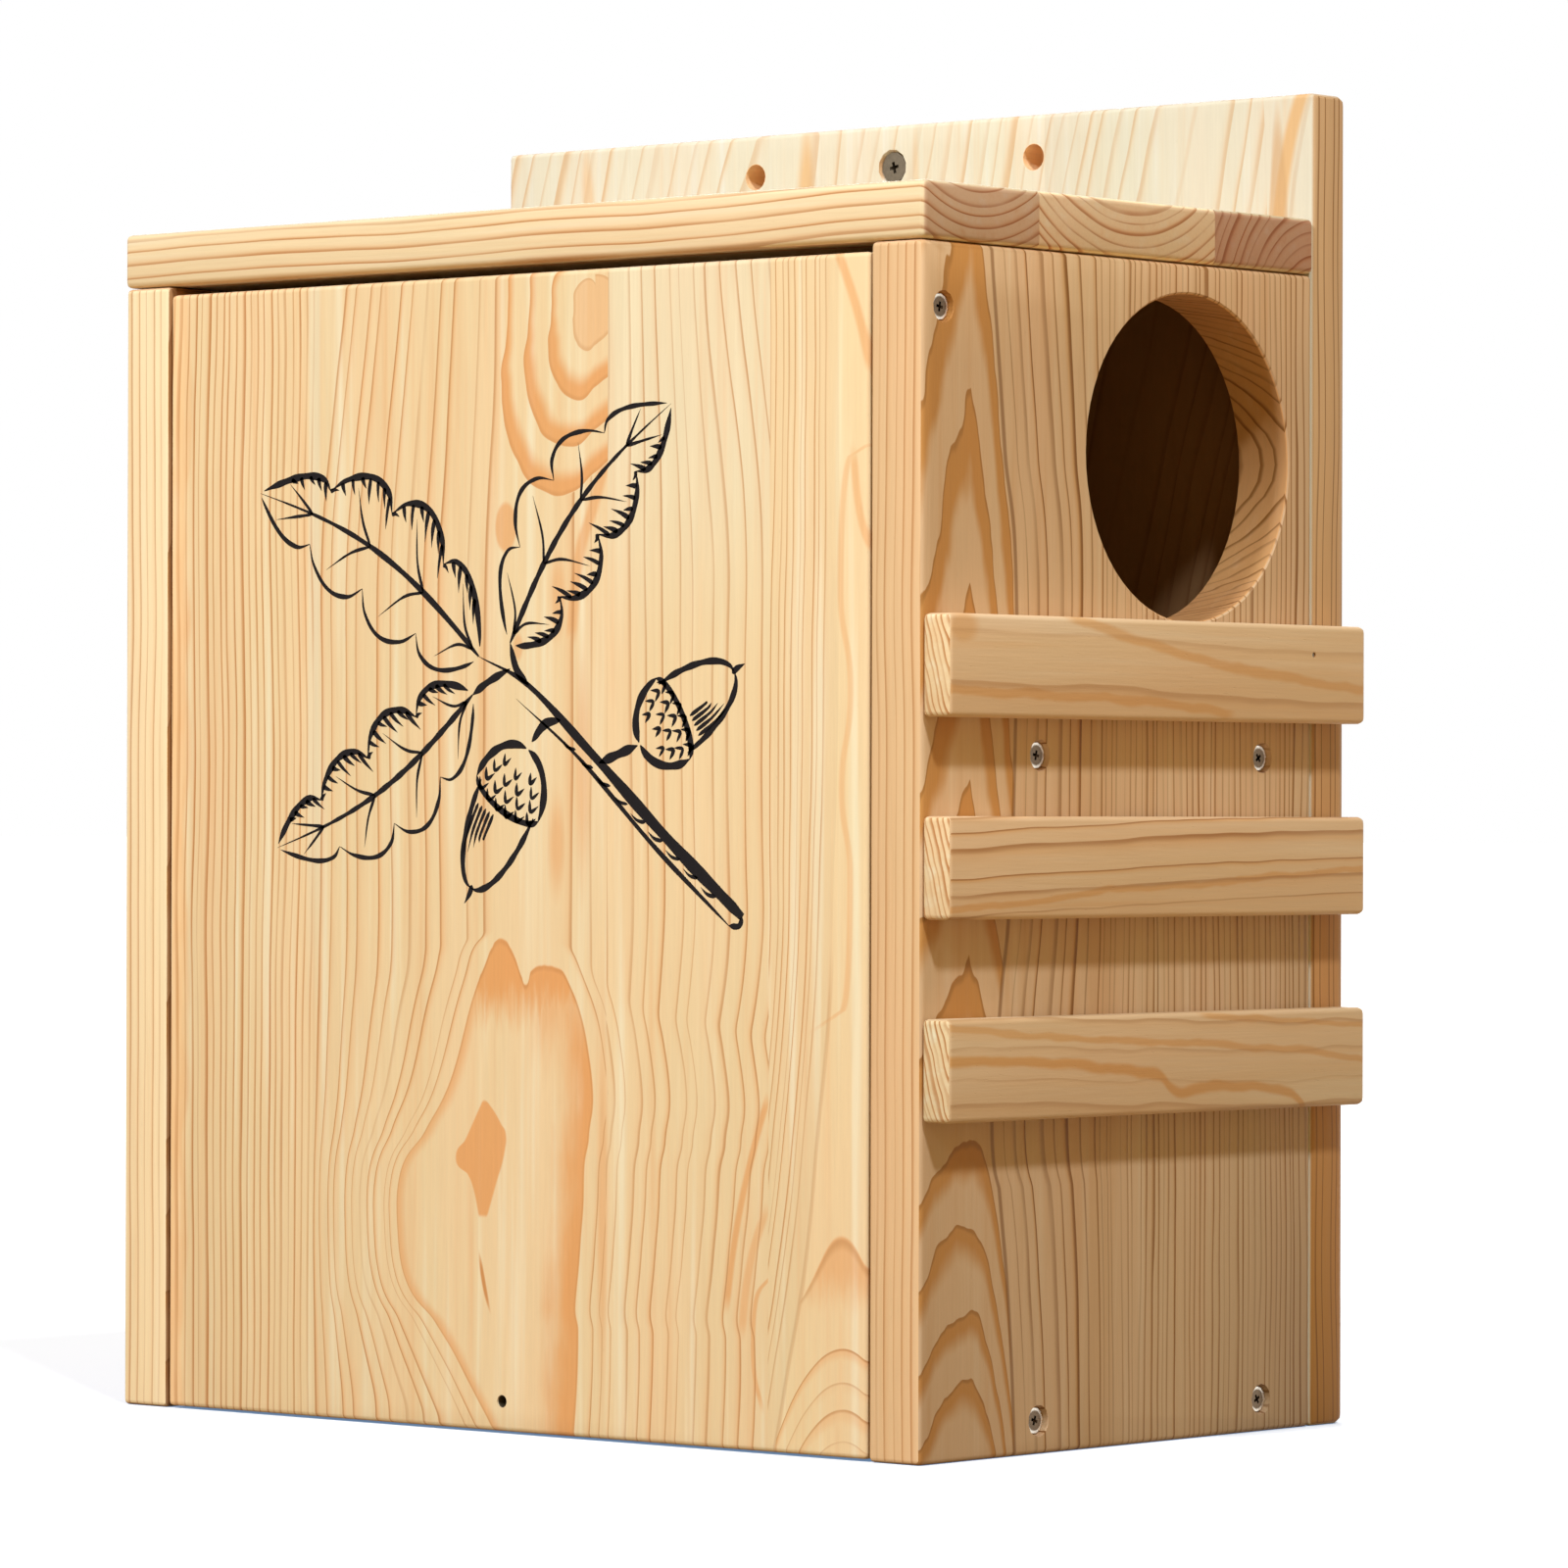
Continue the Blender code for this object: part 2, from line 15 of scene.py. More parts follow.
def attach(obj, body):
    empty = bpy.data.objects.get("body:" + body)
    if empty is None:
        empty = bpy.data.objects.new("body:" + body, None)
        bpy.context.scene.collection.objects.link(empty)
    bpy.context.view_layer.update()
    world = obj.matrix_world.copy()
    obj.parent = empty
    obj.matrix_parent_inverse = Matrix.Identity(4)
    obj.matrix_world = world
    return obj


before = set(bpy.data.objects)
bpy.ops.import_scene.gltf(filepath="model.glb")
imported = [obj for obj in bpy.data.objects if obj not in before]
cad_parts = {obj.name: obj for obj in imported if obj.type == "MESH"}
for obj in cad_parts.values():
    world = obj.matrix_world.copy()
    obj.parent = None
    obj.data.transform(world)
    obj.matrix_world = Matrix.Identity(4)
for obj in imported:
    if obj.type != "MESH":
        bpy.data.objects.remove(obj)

bpy.context.view_layer.update()

MM = 0.001

# Camera, fitted to the photograph's corners
CAMERA_PLACE = Vector((1.16522, -1.32594, 0.14435))
CAMERA_RIGHT = Vector((0.7560774, 0.65447735, 0.00252124))
CAMERA_UP = Vector((0.00078646, -0.0047608, 0.99998836))
CAMERA_LENS = 168.11
SENSOR_WIDTH = 36.0

# Studio. The floor's half width is in metres, and its drop under the house in millimetres
Lamp = namedtuple("Lamp", "name towards strength colour")
LAMPS = [
    Lamp("side_lamp", Vector((0.537, -0.322, 0.779)), 1.8, (0.93, 0.98, 1.0)),
    Lamp("front_lamp", Vector((0.02, -0.8, 0.6)), 1.97, (0.92, 0.96, 1.0)),
    Lamp("rear_lamp", Vector((-0.55, 0.62, 0.56)), 1.1, (0.95, 0.97, 1.0)),
]
LAMP_SPREAD = 0.09
WORLD_COLOUR = (0.96, 0.65, 0.21)
WORLD_STRENGTH = 0.42
FLOOR_COLOUR = (0.93, 0.93, 0.93)
FLOOR_DIM_COLOUR = (0.31, 0.205, 0.075)
FLOOR_GLOW_COLOUR = (0.3, 0.58, 1.0)
FLOOR_GLOW = 0.36
FLOOR_HALF = 30.0
FLOOR_DROP = 0.05

# Fronts of the door and backboard, and outer faces of the sides and slats, in millimetres
DOOR_FACE = -79.65
BACK_FACE = 64.65
SIDE_FACE = 126.5
SLAT_FACE = 134.8

# Just short of the sides' front edges, the lid's ends and the boards' inner faces, in millimetres
SIDE_FRONT = -79.4
LID_END = 126.0
INNER_DEPTH = 14.6

# Joints between glued staves, and heights between the slats, in millimetres
DOOR_JOINTS = (-62.0, 32.5, 82.0)
LID_JOINTS = (-39.0, 26.0)
BACK_JOINTS = (45.0, 112.0)
SLAT_GAPS = (110.0, 155.0)

# How far the print stands out of the door and reaches into it, in millimetres
INK_PROUD = 0.03
INK_SUNK = 0.1

# The lock hole, the entrance, the hanging holes and the screw heads, in millimetres
LOCK_X, LOCK_Z = 0.0, 7.5
ENTRY_Y, ENTRY_Z, ENTRY_REACH = 17.15, 227.0, 38.15
HOLE_PITCH = 45.0
RIM_REACH = 2.6

# How high the relief of wood, metal and ink rises, in metres, and how strongly wood and ink shine
WOOD_RELIEF = 0.00005
FINE_RELIEF = 0.00002
WOOD_SHINE = 0.22
INK_SHINE = 0.12

# Edges turned by less than this are shaded as one surface, in radians
SMOOTH_ANGLE = 0.6
# Corners closer than this are joined, in metres
MERGE_DISTANCE = 0.00001

Wood = namedtuple("Wood", "early pale late line")
Spot = namedtuple("Spot", "across along half_across half_along soft strength")

# Pine, as linear colours
DOOR_WOOD = Wood((0.82, 0.65, 0.41), (0.86, 0.78, 0.58), (0.75, 0.35, 0.12), (0.47, 0.21, 0.07))
SIDE_WOOD = Wood((0.70, 0.49, 0.305), (0.75, 0.57, 0.39), (0.53, 0.235, 0.045), (0.22, 0.09, 0.02))
SLAT_WOOD = Wood((0.76, 0.54, 0.335), (0.80, 0.61, 0.42), (0.65, 0.31, 0.08), (0.34, 0.145, 0.045))
LID_WOOD = Wood((0.89, 0.74, 0.50), (0.90, 0.80, 0.60), (0.74, 0.37, 0.13), (0.42, 0.19, 0.08))
BACK_WOOD = Wood((0.78, 0.75, 0.64), (0.80, 0.81, 0.76), (0.78, 0.48, 0.21), (0.60, 0.37, 0.19))
# Painted light: the brighter wood of the hanging holes' walls
HOLE_PAINTED_LIGHT_WOOD = (0.97, 0.66, 0.38)
CREAM_WOOD = (0.80, 0.70, 0.50)
EDGE_WOOD = Wood((0.84, 0.58, 0.34), (0.87, 0.64, 0.40), (0.66, 0.30, 0.09), (0.45, 0.19, 0.06))
# Painted shade: the darker wood inside the house
PAINTED_SHADE_INNER_WOOD = Wood((0.34, 0.18, 0.08), (0.36, 0.20, 0.09), (0.27, 0.12, 0.04), (0.18, 0.07, 0.025))

# Ink and metals, as linear colours
INK = (0.009, 0.007, 0.008)
WORN_INK = (0.06, 0.04, 0.03)
ZINC = (0.42, 0.35, 0.27)
DULL_STEEL = (0.21, 0.17, 0.12)
# Painted shade for the middles of the sunk heads, and a painted highlight for their rims
SUNK_PAINTED_SHADE = (0.15, 0.10, 0.06)
SUNK_PAINTED_HIGHLIGHT = (0.82, 0.74, 0.62)


class Field:
    """A number that varies over a surface. Arithmetic on it adds Math nodes to its finish."""

    def __init__(self, finish, socket):
        self.finish = finish
        self.socket = socket

    def __add__(self, other):
        return self.finish.math("ADD", self, other)

    __radd__ = __add__

    def __sub__(self, other):
        return self.finish.math("SUBTRACT", self, other)

    def __rsub__(self, other):
        return self.finish.math("SUBTRACT", other, self)

    def __mul__(self, other):
        return self.finish.math("MULTIPLY", self, other)

    __rmul__ = __mul__

    def __truediv__(self, other):
        return self.finish.math("DIVIDE", self, other)

    def __pow__(self, other):
        return self.finish.math("POWER", self, other)

    def __abs__(self):
        return self.finish.math("ABSOLUTE", self)


class Finish:
    """One node material in the making."""

    def __init__(self, name, roughness, metallic=0.0):
        self.material = bpy.data.materials.new(name)
        self.material.use_nodes = True
        self.tree = self.material.node_tree
        self.shader = self.tree.nodes["Principled BSDF"]
        self.shader.inputs["Roughness"].default_value = roughness
        self.shader.inputs["Metallic"].default_value = metallic

    def plug(self, socket, value):
        if isinstance(value, Field):
            self.tree.links.new(value.socket, socket)
        elif isinstance(value, tuple) and socket.type == "RGBA":
            socket.default_value = (*value, 1)
        else:
            socket.default_value = value

    def math(self, operation, *values):
        node = self.tree.nodes.new("ShaderNodeMath")
        node.operation = operation
        for socket, value in zip(node.inputs, values):
            self.plug(socket, value)
        return Field(self, node.outputs[0])

    def vector(self, x, y, z):
        node = self.tree.nodes.new("ShaderNodeCombineXYZ")
        for socket, value in zip(node.inputs, (x, y, z)):
            self.plug(socket, value)
        return Field(self, node.outputs[0])

    def split(self, vector):
        node = self.tree.nodes.new("ShaderNodeSeparateXYZ")
        self.tree.links.new(vector, node.inputs[0])
        return [Field(self, socket) for socket in node.outputs]

    def place(self):
        """Where a point lies at rest, in millimetres."""
        node = self.tree.nodes.new("ShaderNodeTexCoord")
        return [part / MM for part in self.split(node.outputs["Object"])]

    def facing(self):
        """Which way the surface faces at a point."""
        node = self.tree.nodes.new("ShaderNodeTexCoord")
        return self.split(node.outputs["Normal"])

    def noise(self, x, y, z, detail=2.0, roughness=0.5):
        """Cloudy noise from about -1 to 1."""
        node = self.tree.nodes.new("ShaderNodeTexNoise")
        self.plug(node.inputs["Vector"], self.vector(x, y, z))
        node.inputs["Scale"].default_value = 1
        node.inputs["Detail"].default_value = detail
        node.inputs["Roughness"].default_value = roughness
        return Field(self, node.outputs["Fac"]) * 2 - 1

    def dice(self, value):
        """A fixed random number from 0 to 1 for each whole value."""
        node = self.tree.nodes.new("ShaderNodeTexWhiteNoise")
        node.noise_dimensions = "1D"
        self.plug(node.inputs["W"], value)
        return Field(self, node.outputs["Value"])

    def map(self, value, low, high, kind):
        node = self.tree.nodes.new("ShaderNodeMapRange")
        node.interpolation_type = kind
        self.plug(node.inputs["Value"], value)
        self.plug(node.inputs["From Min"], low)
        self.plug(node.inputs["From Max"], high)
        return Field(self, node.outputs["Result"])

    def ease(self, value, low, high):
        """0 at low, 1 at high, and smooth between them."""
        return self.map(value, low, high, "SMOOTHSTEP")

    def ramp(self, value, low, high):
        """0 at low, 1 at high, and straight between them."""
        return self.map(value, low, high, "LINEAR")

    def trace(self, value, points):
        """A smooth curve through given points, which may run on past its ends."""
        start, end = points[0][0], points[-1][0]
        low = min(height for place, height in points)
        rise = max(height for place, height in points) - low
        node = self.tree.nodes.new("ShaderNodeFloatCurve")
        curve = node.mapping.curves[0]
        while len(curve.points) < len(points):
            curve.points.new(0, 0)
        for knot, (place, height) in zip(curve.points, points):
            knot.location = ((place - start) / (end - start), (height - low) / rise)
        node.mapping.update()
        self.plug(node.inputs["Value"], (value - start) / (end - start))
        return Field(self, node.outputs[0]) * rise + low

    def beyond(self, value, edge):
        """1 where a value is over an edge, and 0 elsewhere."""
        return self.math("GREATER_THAN", value, edge)

    def hump(self, value, at, reach):
        """A smooth hump of height 1 at a place, which fades over its reach."""
        offset = (value - at) / reach
        return self.math("EXPONENT", offset * offset * -1)

    def far(self, *parts):
        """The length of a vector of parts."""
        total = parts[0] * parts[0]
        for part in parts[1:]:
            total = total + part * part
        return self.math("SQRT", total)

    def blend(self, share, low, high):
        """Between two colours by a share."""
        node = self.tree.nodes.new("ShaderNodeMix")
        node.data_type = "RGBA"
        self.plug(node.inputs[0], share)
        self.plug(node.inputs[6], low)
        self.plug(node.inputs[7], high)
        return Field(self, node.outputs[2])

    def tinted(self, colour, factor):
        """A colour times a number or another colour."""
        node = self.tree.nodes.new("ShaderNodeMix")
        node.data_type = "RGBA"
        node.blend_type = "MULTIPLY"
        node.inputs[0].default_value = 1
        self.plug(node.inputs[6], colour)
        self.plug(node.inputs[7], factor)
        return Field(self, node.outputs[2])

    def relief(self, height, distance):
        """Raises the surface by a height field, in metres at height 1."""
        node = self.tree.nodes.new("ShaderNodeBump")
        node.inputs["Strength"].default_value = 1
        node.inputs["Distance"].default_value = distance
        self.plug(node.inputs["Height"], height)
        self.tree.links.new(node.outputs["Normal"], self.shader.inputs["Normal"])

    def colour(self, value):
        self.plug(self.shader.inputs["Base Color"], value)

    def roughness(self, value):
        self.plug(self.shader.inputs["Roughness"], value)


def spots(f, across, along, marks):
    """Soft patches of orange wood on a face."""
    shares = []
    for mark in marks:
        a = (across - mark.across) / mark.half_across
        b = (along - mark.along) / mark.half_along
        shares.append(f.ease(1 - f.far(a, b), 0, mark.soft) * mark.strength)
    return highest(f, shares)


def vein(f, across, along, path, half, strength):
    """A soft streak of orange wood along given points."""
    offset = abs(along - f.trace(across, path))
    ends = f.ease(across, path[0][0] - 6, path[0][0]) * f.ease(across, path[-1][0] + 6, path[-1][0])
    return f.ease(offset, half, half * 0.3) * ends * strength


def highest(f, shares):
    """The highest of several shares at each point."""
    total = shares[0]
    for share in shares[1:]:
        total = f.math("MAXIMUM", total, share)
    return total


def swapped(value, other, share):
    """A value that gives way to another by a share."""
    return value + (other - value) * share


def pine(
    f, axes, rings, seed, wood, stain=0.0, mark=0.0, shade=1.0, wash_share=1.0, thick=0.2, quiet=0.0,
    ends=(0.16, 0.07), bold=0.6
):
    """Colour, sheen and relief of planed pine.

    Axes names across, depth and along as 0 to 2. Wash share scales the orange of each year, thick and
    bold are the width and strength of its line, and quiet hides both. Stain and mark add orange and
    brown of their own. Ends says how much the end grain darkens and warms.
    """
    place = f.place()
    across, depth, along = (place[axis] for axis in axes)
    end_grain = f.ease(abs(f.facing()[axes[2]]), 0.6, 0.95)
    # Some years are wider than others
    rings = rings + f.noise(rings * 0.8, seed, 0.0, 0) * 0.55
    year = f.math("FLOOR", rings)
    part = rings - year
    vigour = f.dice(year + seed)
    drift = f.noise(across / 9, depth / 9 + seed, along / 45, 1)
    vigour = vigour * 0.8 + drift * 0.45 + 0.15
    drop = 1 - f.ease(part, 0.97, 1.0)
    drop = drop * (1 - quiet)
    wash = f.ease(part, 0.35, 0.95) ** 2 * drop * f.ease(vigour, -0.1, 1.2) * wash_share
    line = f.ease(part, 1 - thick * 1.3, 1 - thick * 0.4) * drop * f.ease(vigour, -0.5, 1.1)
    cloud = f.noise(across / 20, depth / 20 + seed, along / 110, 2)
    fibre = f.noise(across * 1.4, depth * 1.4, along / 16 + seed, 3, 0.65)
    streak = f.noise(across / 3.4, depth / 3.4 + seed, along / 130, 2)
    stain = f.math("MAXIMUM", stain, f.ease(streak, 0.05, 0.75) * 0.34)
    wash = f.math("MAXIMUM", wash * 0.7, stain)
    pale = f.blend(f.ease(streak, 0.0, -0.6), wood.early, wood.pale)
    colour = f.blend(wash, pale, wood.late)
    line = f.math("MAXIMUM", line, mark)
    colour = f.blend(line * bold, colour, wood.line)
    pores = f.ease(f.noise(across * 3.0, depth * 3.0, along / 2.4 + seed, 1), 0.42, 0.75)
    glow = (cloud * 0.05 + fibre * 0.07 + 1) * (1 - pores * 0.07) * shade
    glow = glow * (1 - end_grain * ends[0])
    warm = cloud * -0.07 - end_grain * ends[1] + 1
    f.colour(f.tinted(colour, f.vector(glow, glow * warm, glow * warm)))
    f.roughness(fibre * 0.06 + end_grain * 0.12 + 0.56)
    f.shader.inputs["Specular IOR Level"].default_value = WOOD_SHINE
    f.relief(fibre * 0.5 - pores * 0.9, WOOD_RELIEF)
    return f.material


def waved(f, across, along, seed, swing, ripple):
    """Across, bent the way grain wanders along a board."""
    wave = f.noise(across / 40, seed, along / 95, 1)
    small = f.noise(across / 9, seed + 7.7, along / 30, 1)
    return across + wave * swing + small * ripple


# Half width and middle of the big figure low on the door, by height, and its two heads, by place across
FIGURE_HALF = [
    (-3, 11), (10, 16.5), (25, 22.5), (36, 27.2), (46, 28.8), (58, 29.2), (70, 26.2),
    (88, 21), (98, 17.8), (107, 13.5), (112, 11), (116, 6), (132, -26),
]
FIGURE_MIDDLE = [
    (-3, 11), (10, 6.5), (25, 1), (36, -3.8), (46, -4.2), (58, -3.5), (70, 1.2), (88, 6), (128, 6),
]
FIGURE_TOP = [
    (-20, 101), (-8, 106), (-3.5, 113), (-1, 115), (2.5, 112.5), (6, 106.5), (7.4, 104.6), (8.8, 107.4),
    (12, 108.8), (17, 108.6), (22, 104), (30, 96),
]
# Left and right edges of the patch inside it, by height
PATCH_LEFT = [(50, -7.5), (57, -9.5), (60, -11.2), (63.5, -15), (68, -12), (73, -9), (78, -6)]
PATCH_RIGHT = [(50, -5), (58, -2), (66, 0.8), (69, 1.2), (72, -0.4), (78, -6)]
# The crack under that patch, by height
CRACK = [(28, -3.8), (33, -5.4), (42, -7.4)]
# Middle of the nested bowls at the door's top, their spacing by direction, and a streak under them
BOWL_X, BOWL_Z = 28.5, 262
BOWL_REACH = [
    (-0.9, 8.2), (-0.25, 8.9), (0, 9.8), (0.35, 11.5), (0.61, 10.8), (1.05, 8.6), (1.57, 6.9),
    (2.04, 7.3), (3.15, 4.5),
]
BOWL_STREAK = [(188, 21.5), (203, 23.5), (215, 28), (229, 33)]
# Left edge of the small arches low on the right, their years by height, and how far that edge leans
FOOT_EDGE = 101.5
FOOT_ARCHES = [(-12, 0), (3.5, 1), (11, 2), (18, 3), (26, 4), (50, 5), (62, 5.2)]
FOOT_LEAN = [(0, 18), (20, 13.5), (40, 9), (70, 4.5), (110, 0.5), (130, 0)]
# Soft orange patches along the middle stave
DOOR_SPOTS = [
    Spot(-6.5, 168, 2.6, 52, 0.7, 0.4),
    Spot(17, 137, 4, 16, 0.8, 0.5),
    Spot(17, 195, 4, 14, 0.8, 0.5),
    Spot(25, 155, 3.6, 40, 0.8, 0.5),
    Spot(4.5, 183, 2, 4, 0.5, 0.5),
    Spot(0.5, 211, 3.8, 6.5, 0.25, 0.65),
    Spot(31.5, 55, 2.6, 62, 0.8, 0.5),
]
# Orange streaks low beside the right joint: their run, half width and strength
DOOR_FLAMES = [
    ([(36, 70), (48, 72), (62, 75.5), (77, 80.5)], 1.5, 0.7),
    ([(30, 74.5), (40, 76), (52, 80)], 1.9, 0.5),
    ([(14, 79), (25, 77.5), (38, 80.5)], 1.0, 0.6),
]
# And along the door's right edge
EDGE_FLAMES = [
    ([(100, 103), (130, 106), (150, 103.5), (172, 106), (195, 103), (225, 107)], 1.3, 0.4),
    ([(246, 111), (256, 108), (268, 103)], 2.0, 0.6),
    ([(205, 111), (212, 108.5), (222, 107)], 1.6, 0.5),
]


def paint_door(wood):
    f = Finish("door_pine", 0.55)
    x, y, z = f.place()
    depth = y - DOOR_FACE
    past_left, joint, right_stave = (f.beyond(x, place) for place in DOOR_JOINTS)
    bent = waved(f, x, z, 3.1, 2.4, 0.35)
    lean_top = f.ease(z, 190, 300) * f.ease(x, 25, -40) * 10
    lean_right = (f.ease(z, 125, 42) * 12 + f.ease(z, 195, 275) * 9) * f.ramp(x, 34, 64)
    trunk = (f.far(bent - lean_top + lean_right - 8, depth + 25.9) - 24.6) / 4.5
    # The big figure, with a notch between its two heads, and the lines that squeeze past its left
    middle = f.trace(z, FIGURE_MIDDLE)
    half = f.trace(z, FIGURE_HALF)
    above = (z - f.trace(x, FIGURE_TOP) + f.noise(x / 3, 8.8, 0.3, 1)) * 0.5
    outside = f.math("MAXIMUM", abs(bent - middle) - half, above)
    squeeze = f.math("DIVIDE", 11.1, f.math("MAXIMUM", middle - half - DOOR_JOINTS[0], 12))
    slope = swapped(squeeze, 0.227, f.beyond(bent, middle))
    figure = f.math("MAXIMUM", outside * slope, -0.62)
    rings = f.math("SMOOTH_MIN", trunk, figure, 0.3) + joint * 20.4
    left = f.far(bent + 170, depth + 25) / 2.25 + 100
    rings = swapped(rings, left, 1 - past_left)
    # The nested bowls at the top, cut off by the joint
    turn = f.math("ARCTAN2", BOWL_X - x, BOWL_Z - z)
    bowl = f.far(x - BOWL_X, z - BOWL_Z) / f.trace(turn, BOWL_REACH)
    bowl = bowl + f.noise(x / 9, z / 9, 6.1, 1) * 0.07
    in_bowl = f.ease(bowl, 4.02, 3.98) * (1 - joint)
    bowl_part = bowl - f.math("FLOOR", bowl)
    start = 0.35 + f.ease(turn, 0.9, 1.5) * 0.25 - f.ease(bowl, 1.05, 0.95)
    bowl_drop = (1 - f.ease(bowl_part, 0.97, 1)) * in_bowl
    bowl_fill = f.ease(bowl_part, start, start + 0.4) * bowl_drop * (1 - f.ease(bowl, 1.05, 0.95) * 0.5)
    bowl_line = f.ease(bowl_part, 0.86, 0.95) * bowl_drop
    # The small arches low on the right, and the lines that lean past them
    leaning = bent + f.trace(z, FOOT_LEAN)
    foot = f.beyond(leaning, FOOT_EDGE)
    aside = bent - 104
    rise = f.math("MINIMUM", z + aside * aside * (f.ease(z, 25, 48) * 0.095 + 0.055), 58)
    nested = f.trace(rise, FOOT_ARCHES)
    right = f.math("MAXIMUM", f.far(leaning - 138, depth + 14) / 1.8, 23.3)
    right = swapped(right, nested, foot) + 300
    rings = swapped(rings, right, right_stave)
    foot_line = f.ease(abs(leaning - FOOT_EDGE), 0.8, 0.25) * f.ease(z, 118, 100) * right_stave
    # Orange wood
    ragged = f.noise(x * 0.9, 2.2, z / 9, 2) * 6
    within = f.ease(outside, 0.2, -0.2)
    head = f.ease(z + ragged, 92, 106) * 0.9
    inner = f.noise(x / 4, z / 16, 3.3, 2) * 4 + outside
    band = f.ease(inner, -14, -1) * f.ease(x, 6, 14) * f.ease(z, 125, 85) * 0.88
    flank = f.ease(outside, -4.5, -0.3) * 0.62
    fill = f.math("MAXIMUM", head, f.math("MAXIMUM", band, flank)) * within
    streak = f.ease(abs(x + 108.2 + f.noise(1.7, 0.4, z / 26, 1) * 4), 4.4, 2.2) * 0.38
    streak = streak * (f.noise(x / 3, 5.5, z / 12, 1) * 0.5 + 0.85)
    foot_head = f.ease(rise, 50.5, 49.5) * f.ease(z + ragged * 0.6, 31, 43) * foot * right_stave * 0.56
    marks = spots(f, x, z, DOOR_SPOTS)
    under = vein(f, z, x, BOWL_STREAK, 2.6, 0.6) * (1 - joint) * (1 - in_bowl)
    flames = [vein(f, z, x, *flame) for flame in DOOR_FLAMES]
    edge_flames = [vein(f, z, x, *flame) for flame in EDGE_FLAMES]
    beside = highest(f, flames) * (1 - right_stave) + highest(f, edge_flames) * right_stave
    patch_left = f.ease(x - f.trace(z, PATCH_LEFT), -0.3, 0.4)
    patch_right = f.ease(f.trace(z, PATCH_RIGHT) - x, -0.3, 0.4)
    patch = patch_left * patch_right * f.ease(z, 49.8, 51) * f.ease(z, 77.8, 76.8)
    crack = f.ease(f.far((f.trace(z, CRACK) - x) / 0.8, (z - 35) / 8), 1.0, 0.4)
    stain = highest(f, (
        fill, streak, foot_head, marks, under, beside, bowl_fill * 0.86, patch * 0.85, crack * 0.9,
    ))
    mark = highest(f, (crack * 0.7, bowl_line * 0.35, foot_line * 0.4))
    # Painted shade darkens the door's inner face and the inside of the lock hole; painted light makes the
    # door lighter towards its top
    inside_painted_shade = f.beyond(depth, INNER_DEPTH)
    hole_painted_lighting = f.ease(f.far(x - LOCK_X, z - LOCK_Z), 1.7, 1.5) * f.beyond(depth, 0.4)
    shade = 1.0 - past_left * 0.04 + f.ramp(z, 0, 270) * 0.05 + joint * 0.015
    shade = shade - inside_painted_shade * 0.35 - hole_painted_lighting * 0.85
    shade = shade + f.ease(x, -103, -109) * 0.2 + foot * right_stave * 0.06
    # Creamier wood high on the stave right of the joint, and in a band beside the left joint
    high_stave = f.ease(z, 170, 235) * joint * (1 - right_stave)
    left_band = f.ease(abs(x - DOOR_JOINTS[0]), 2.6, 1.2) * f.ramp(z, 90, 150)
    wood = wood._replace(early=f.blend(highest(f, (high_stave, left_band)), wood.early, CREAM_WOOD))
    return pine(
        f, (0, 1, 2), rings, 0.0, wood, stain, mark, shade,
        wash_share=0.88 - f.ramp(z, 110, 190) * joint * 0.45,
        thick=0.28 - past_left * 0.14 + right_stave * 0.09 - foot * right_stave * 0.15,
        quiet=in_bowl,
        bold=0.92 - past_left * 0.14,
    )


# Crest of the arches up a side's front, their heights, and where the straight lines behind them begin
SIDE_CREST = -62.5
SIDE_ARCHES = [
    (-40, -2), (0, 0), (18, 1), (34, 2), (53, 3), (72, 4), (112, 5), (152, 6), (195, 7), (240, 8),
    (288, 9), (400, 11),
]
SIDE_BREAK = [
    (0, -46), (20, -47), (40, -49), (60, -52), (76, -55), (100, -52), (150, -47), (190, -46.5),
    (225, -50.5), (272, -55),
]


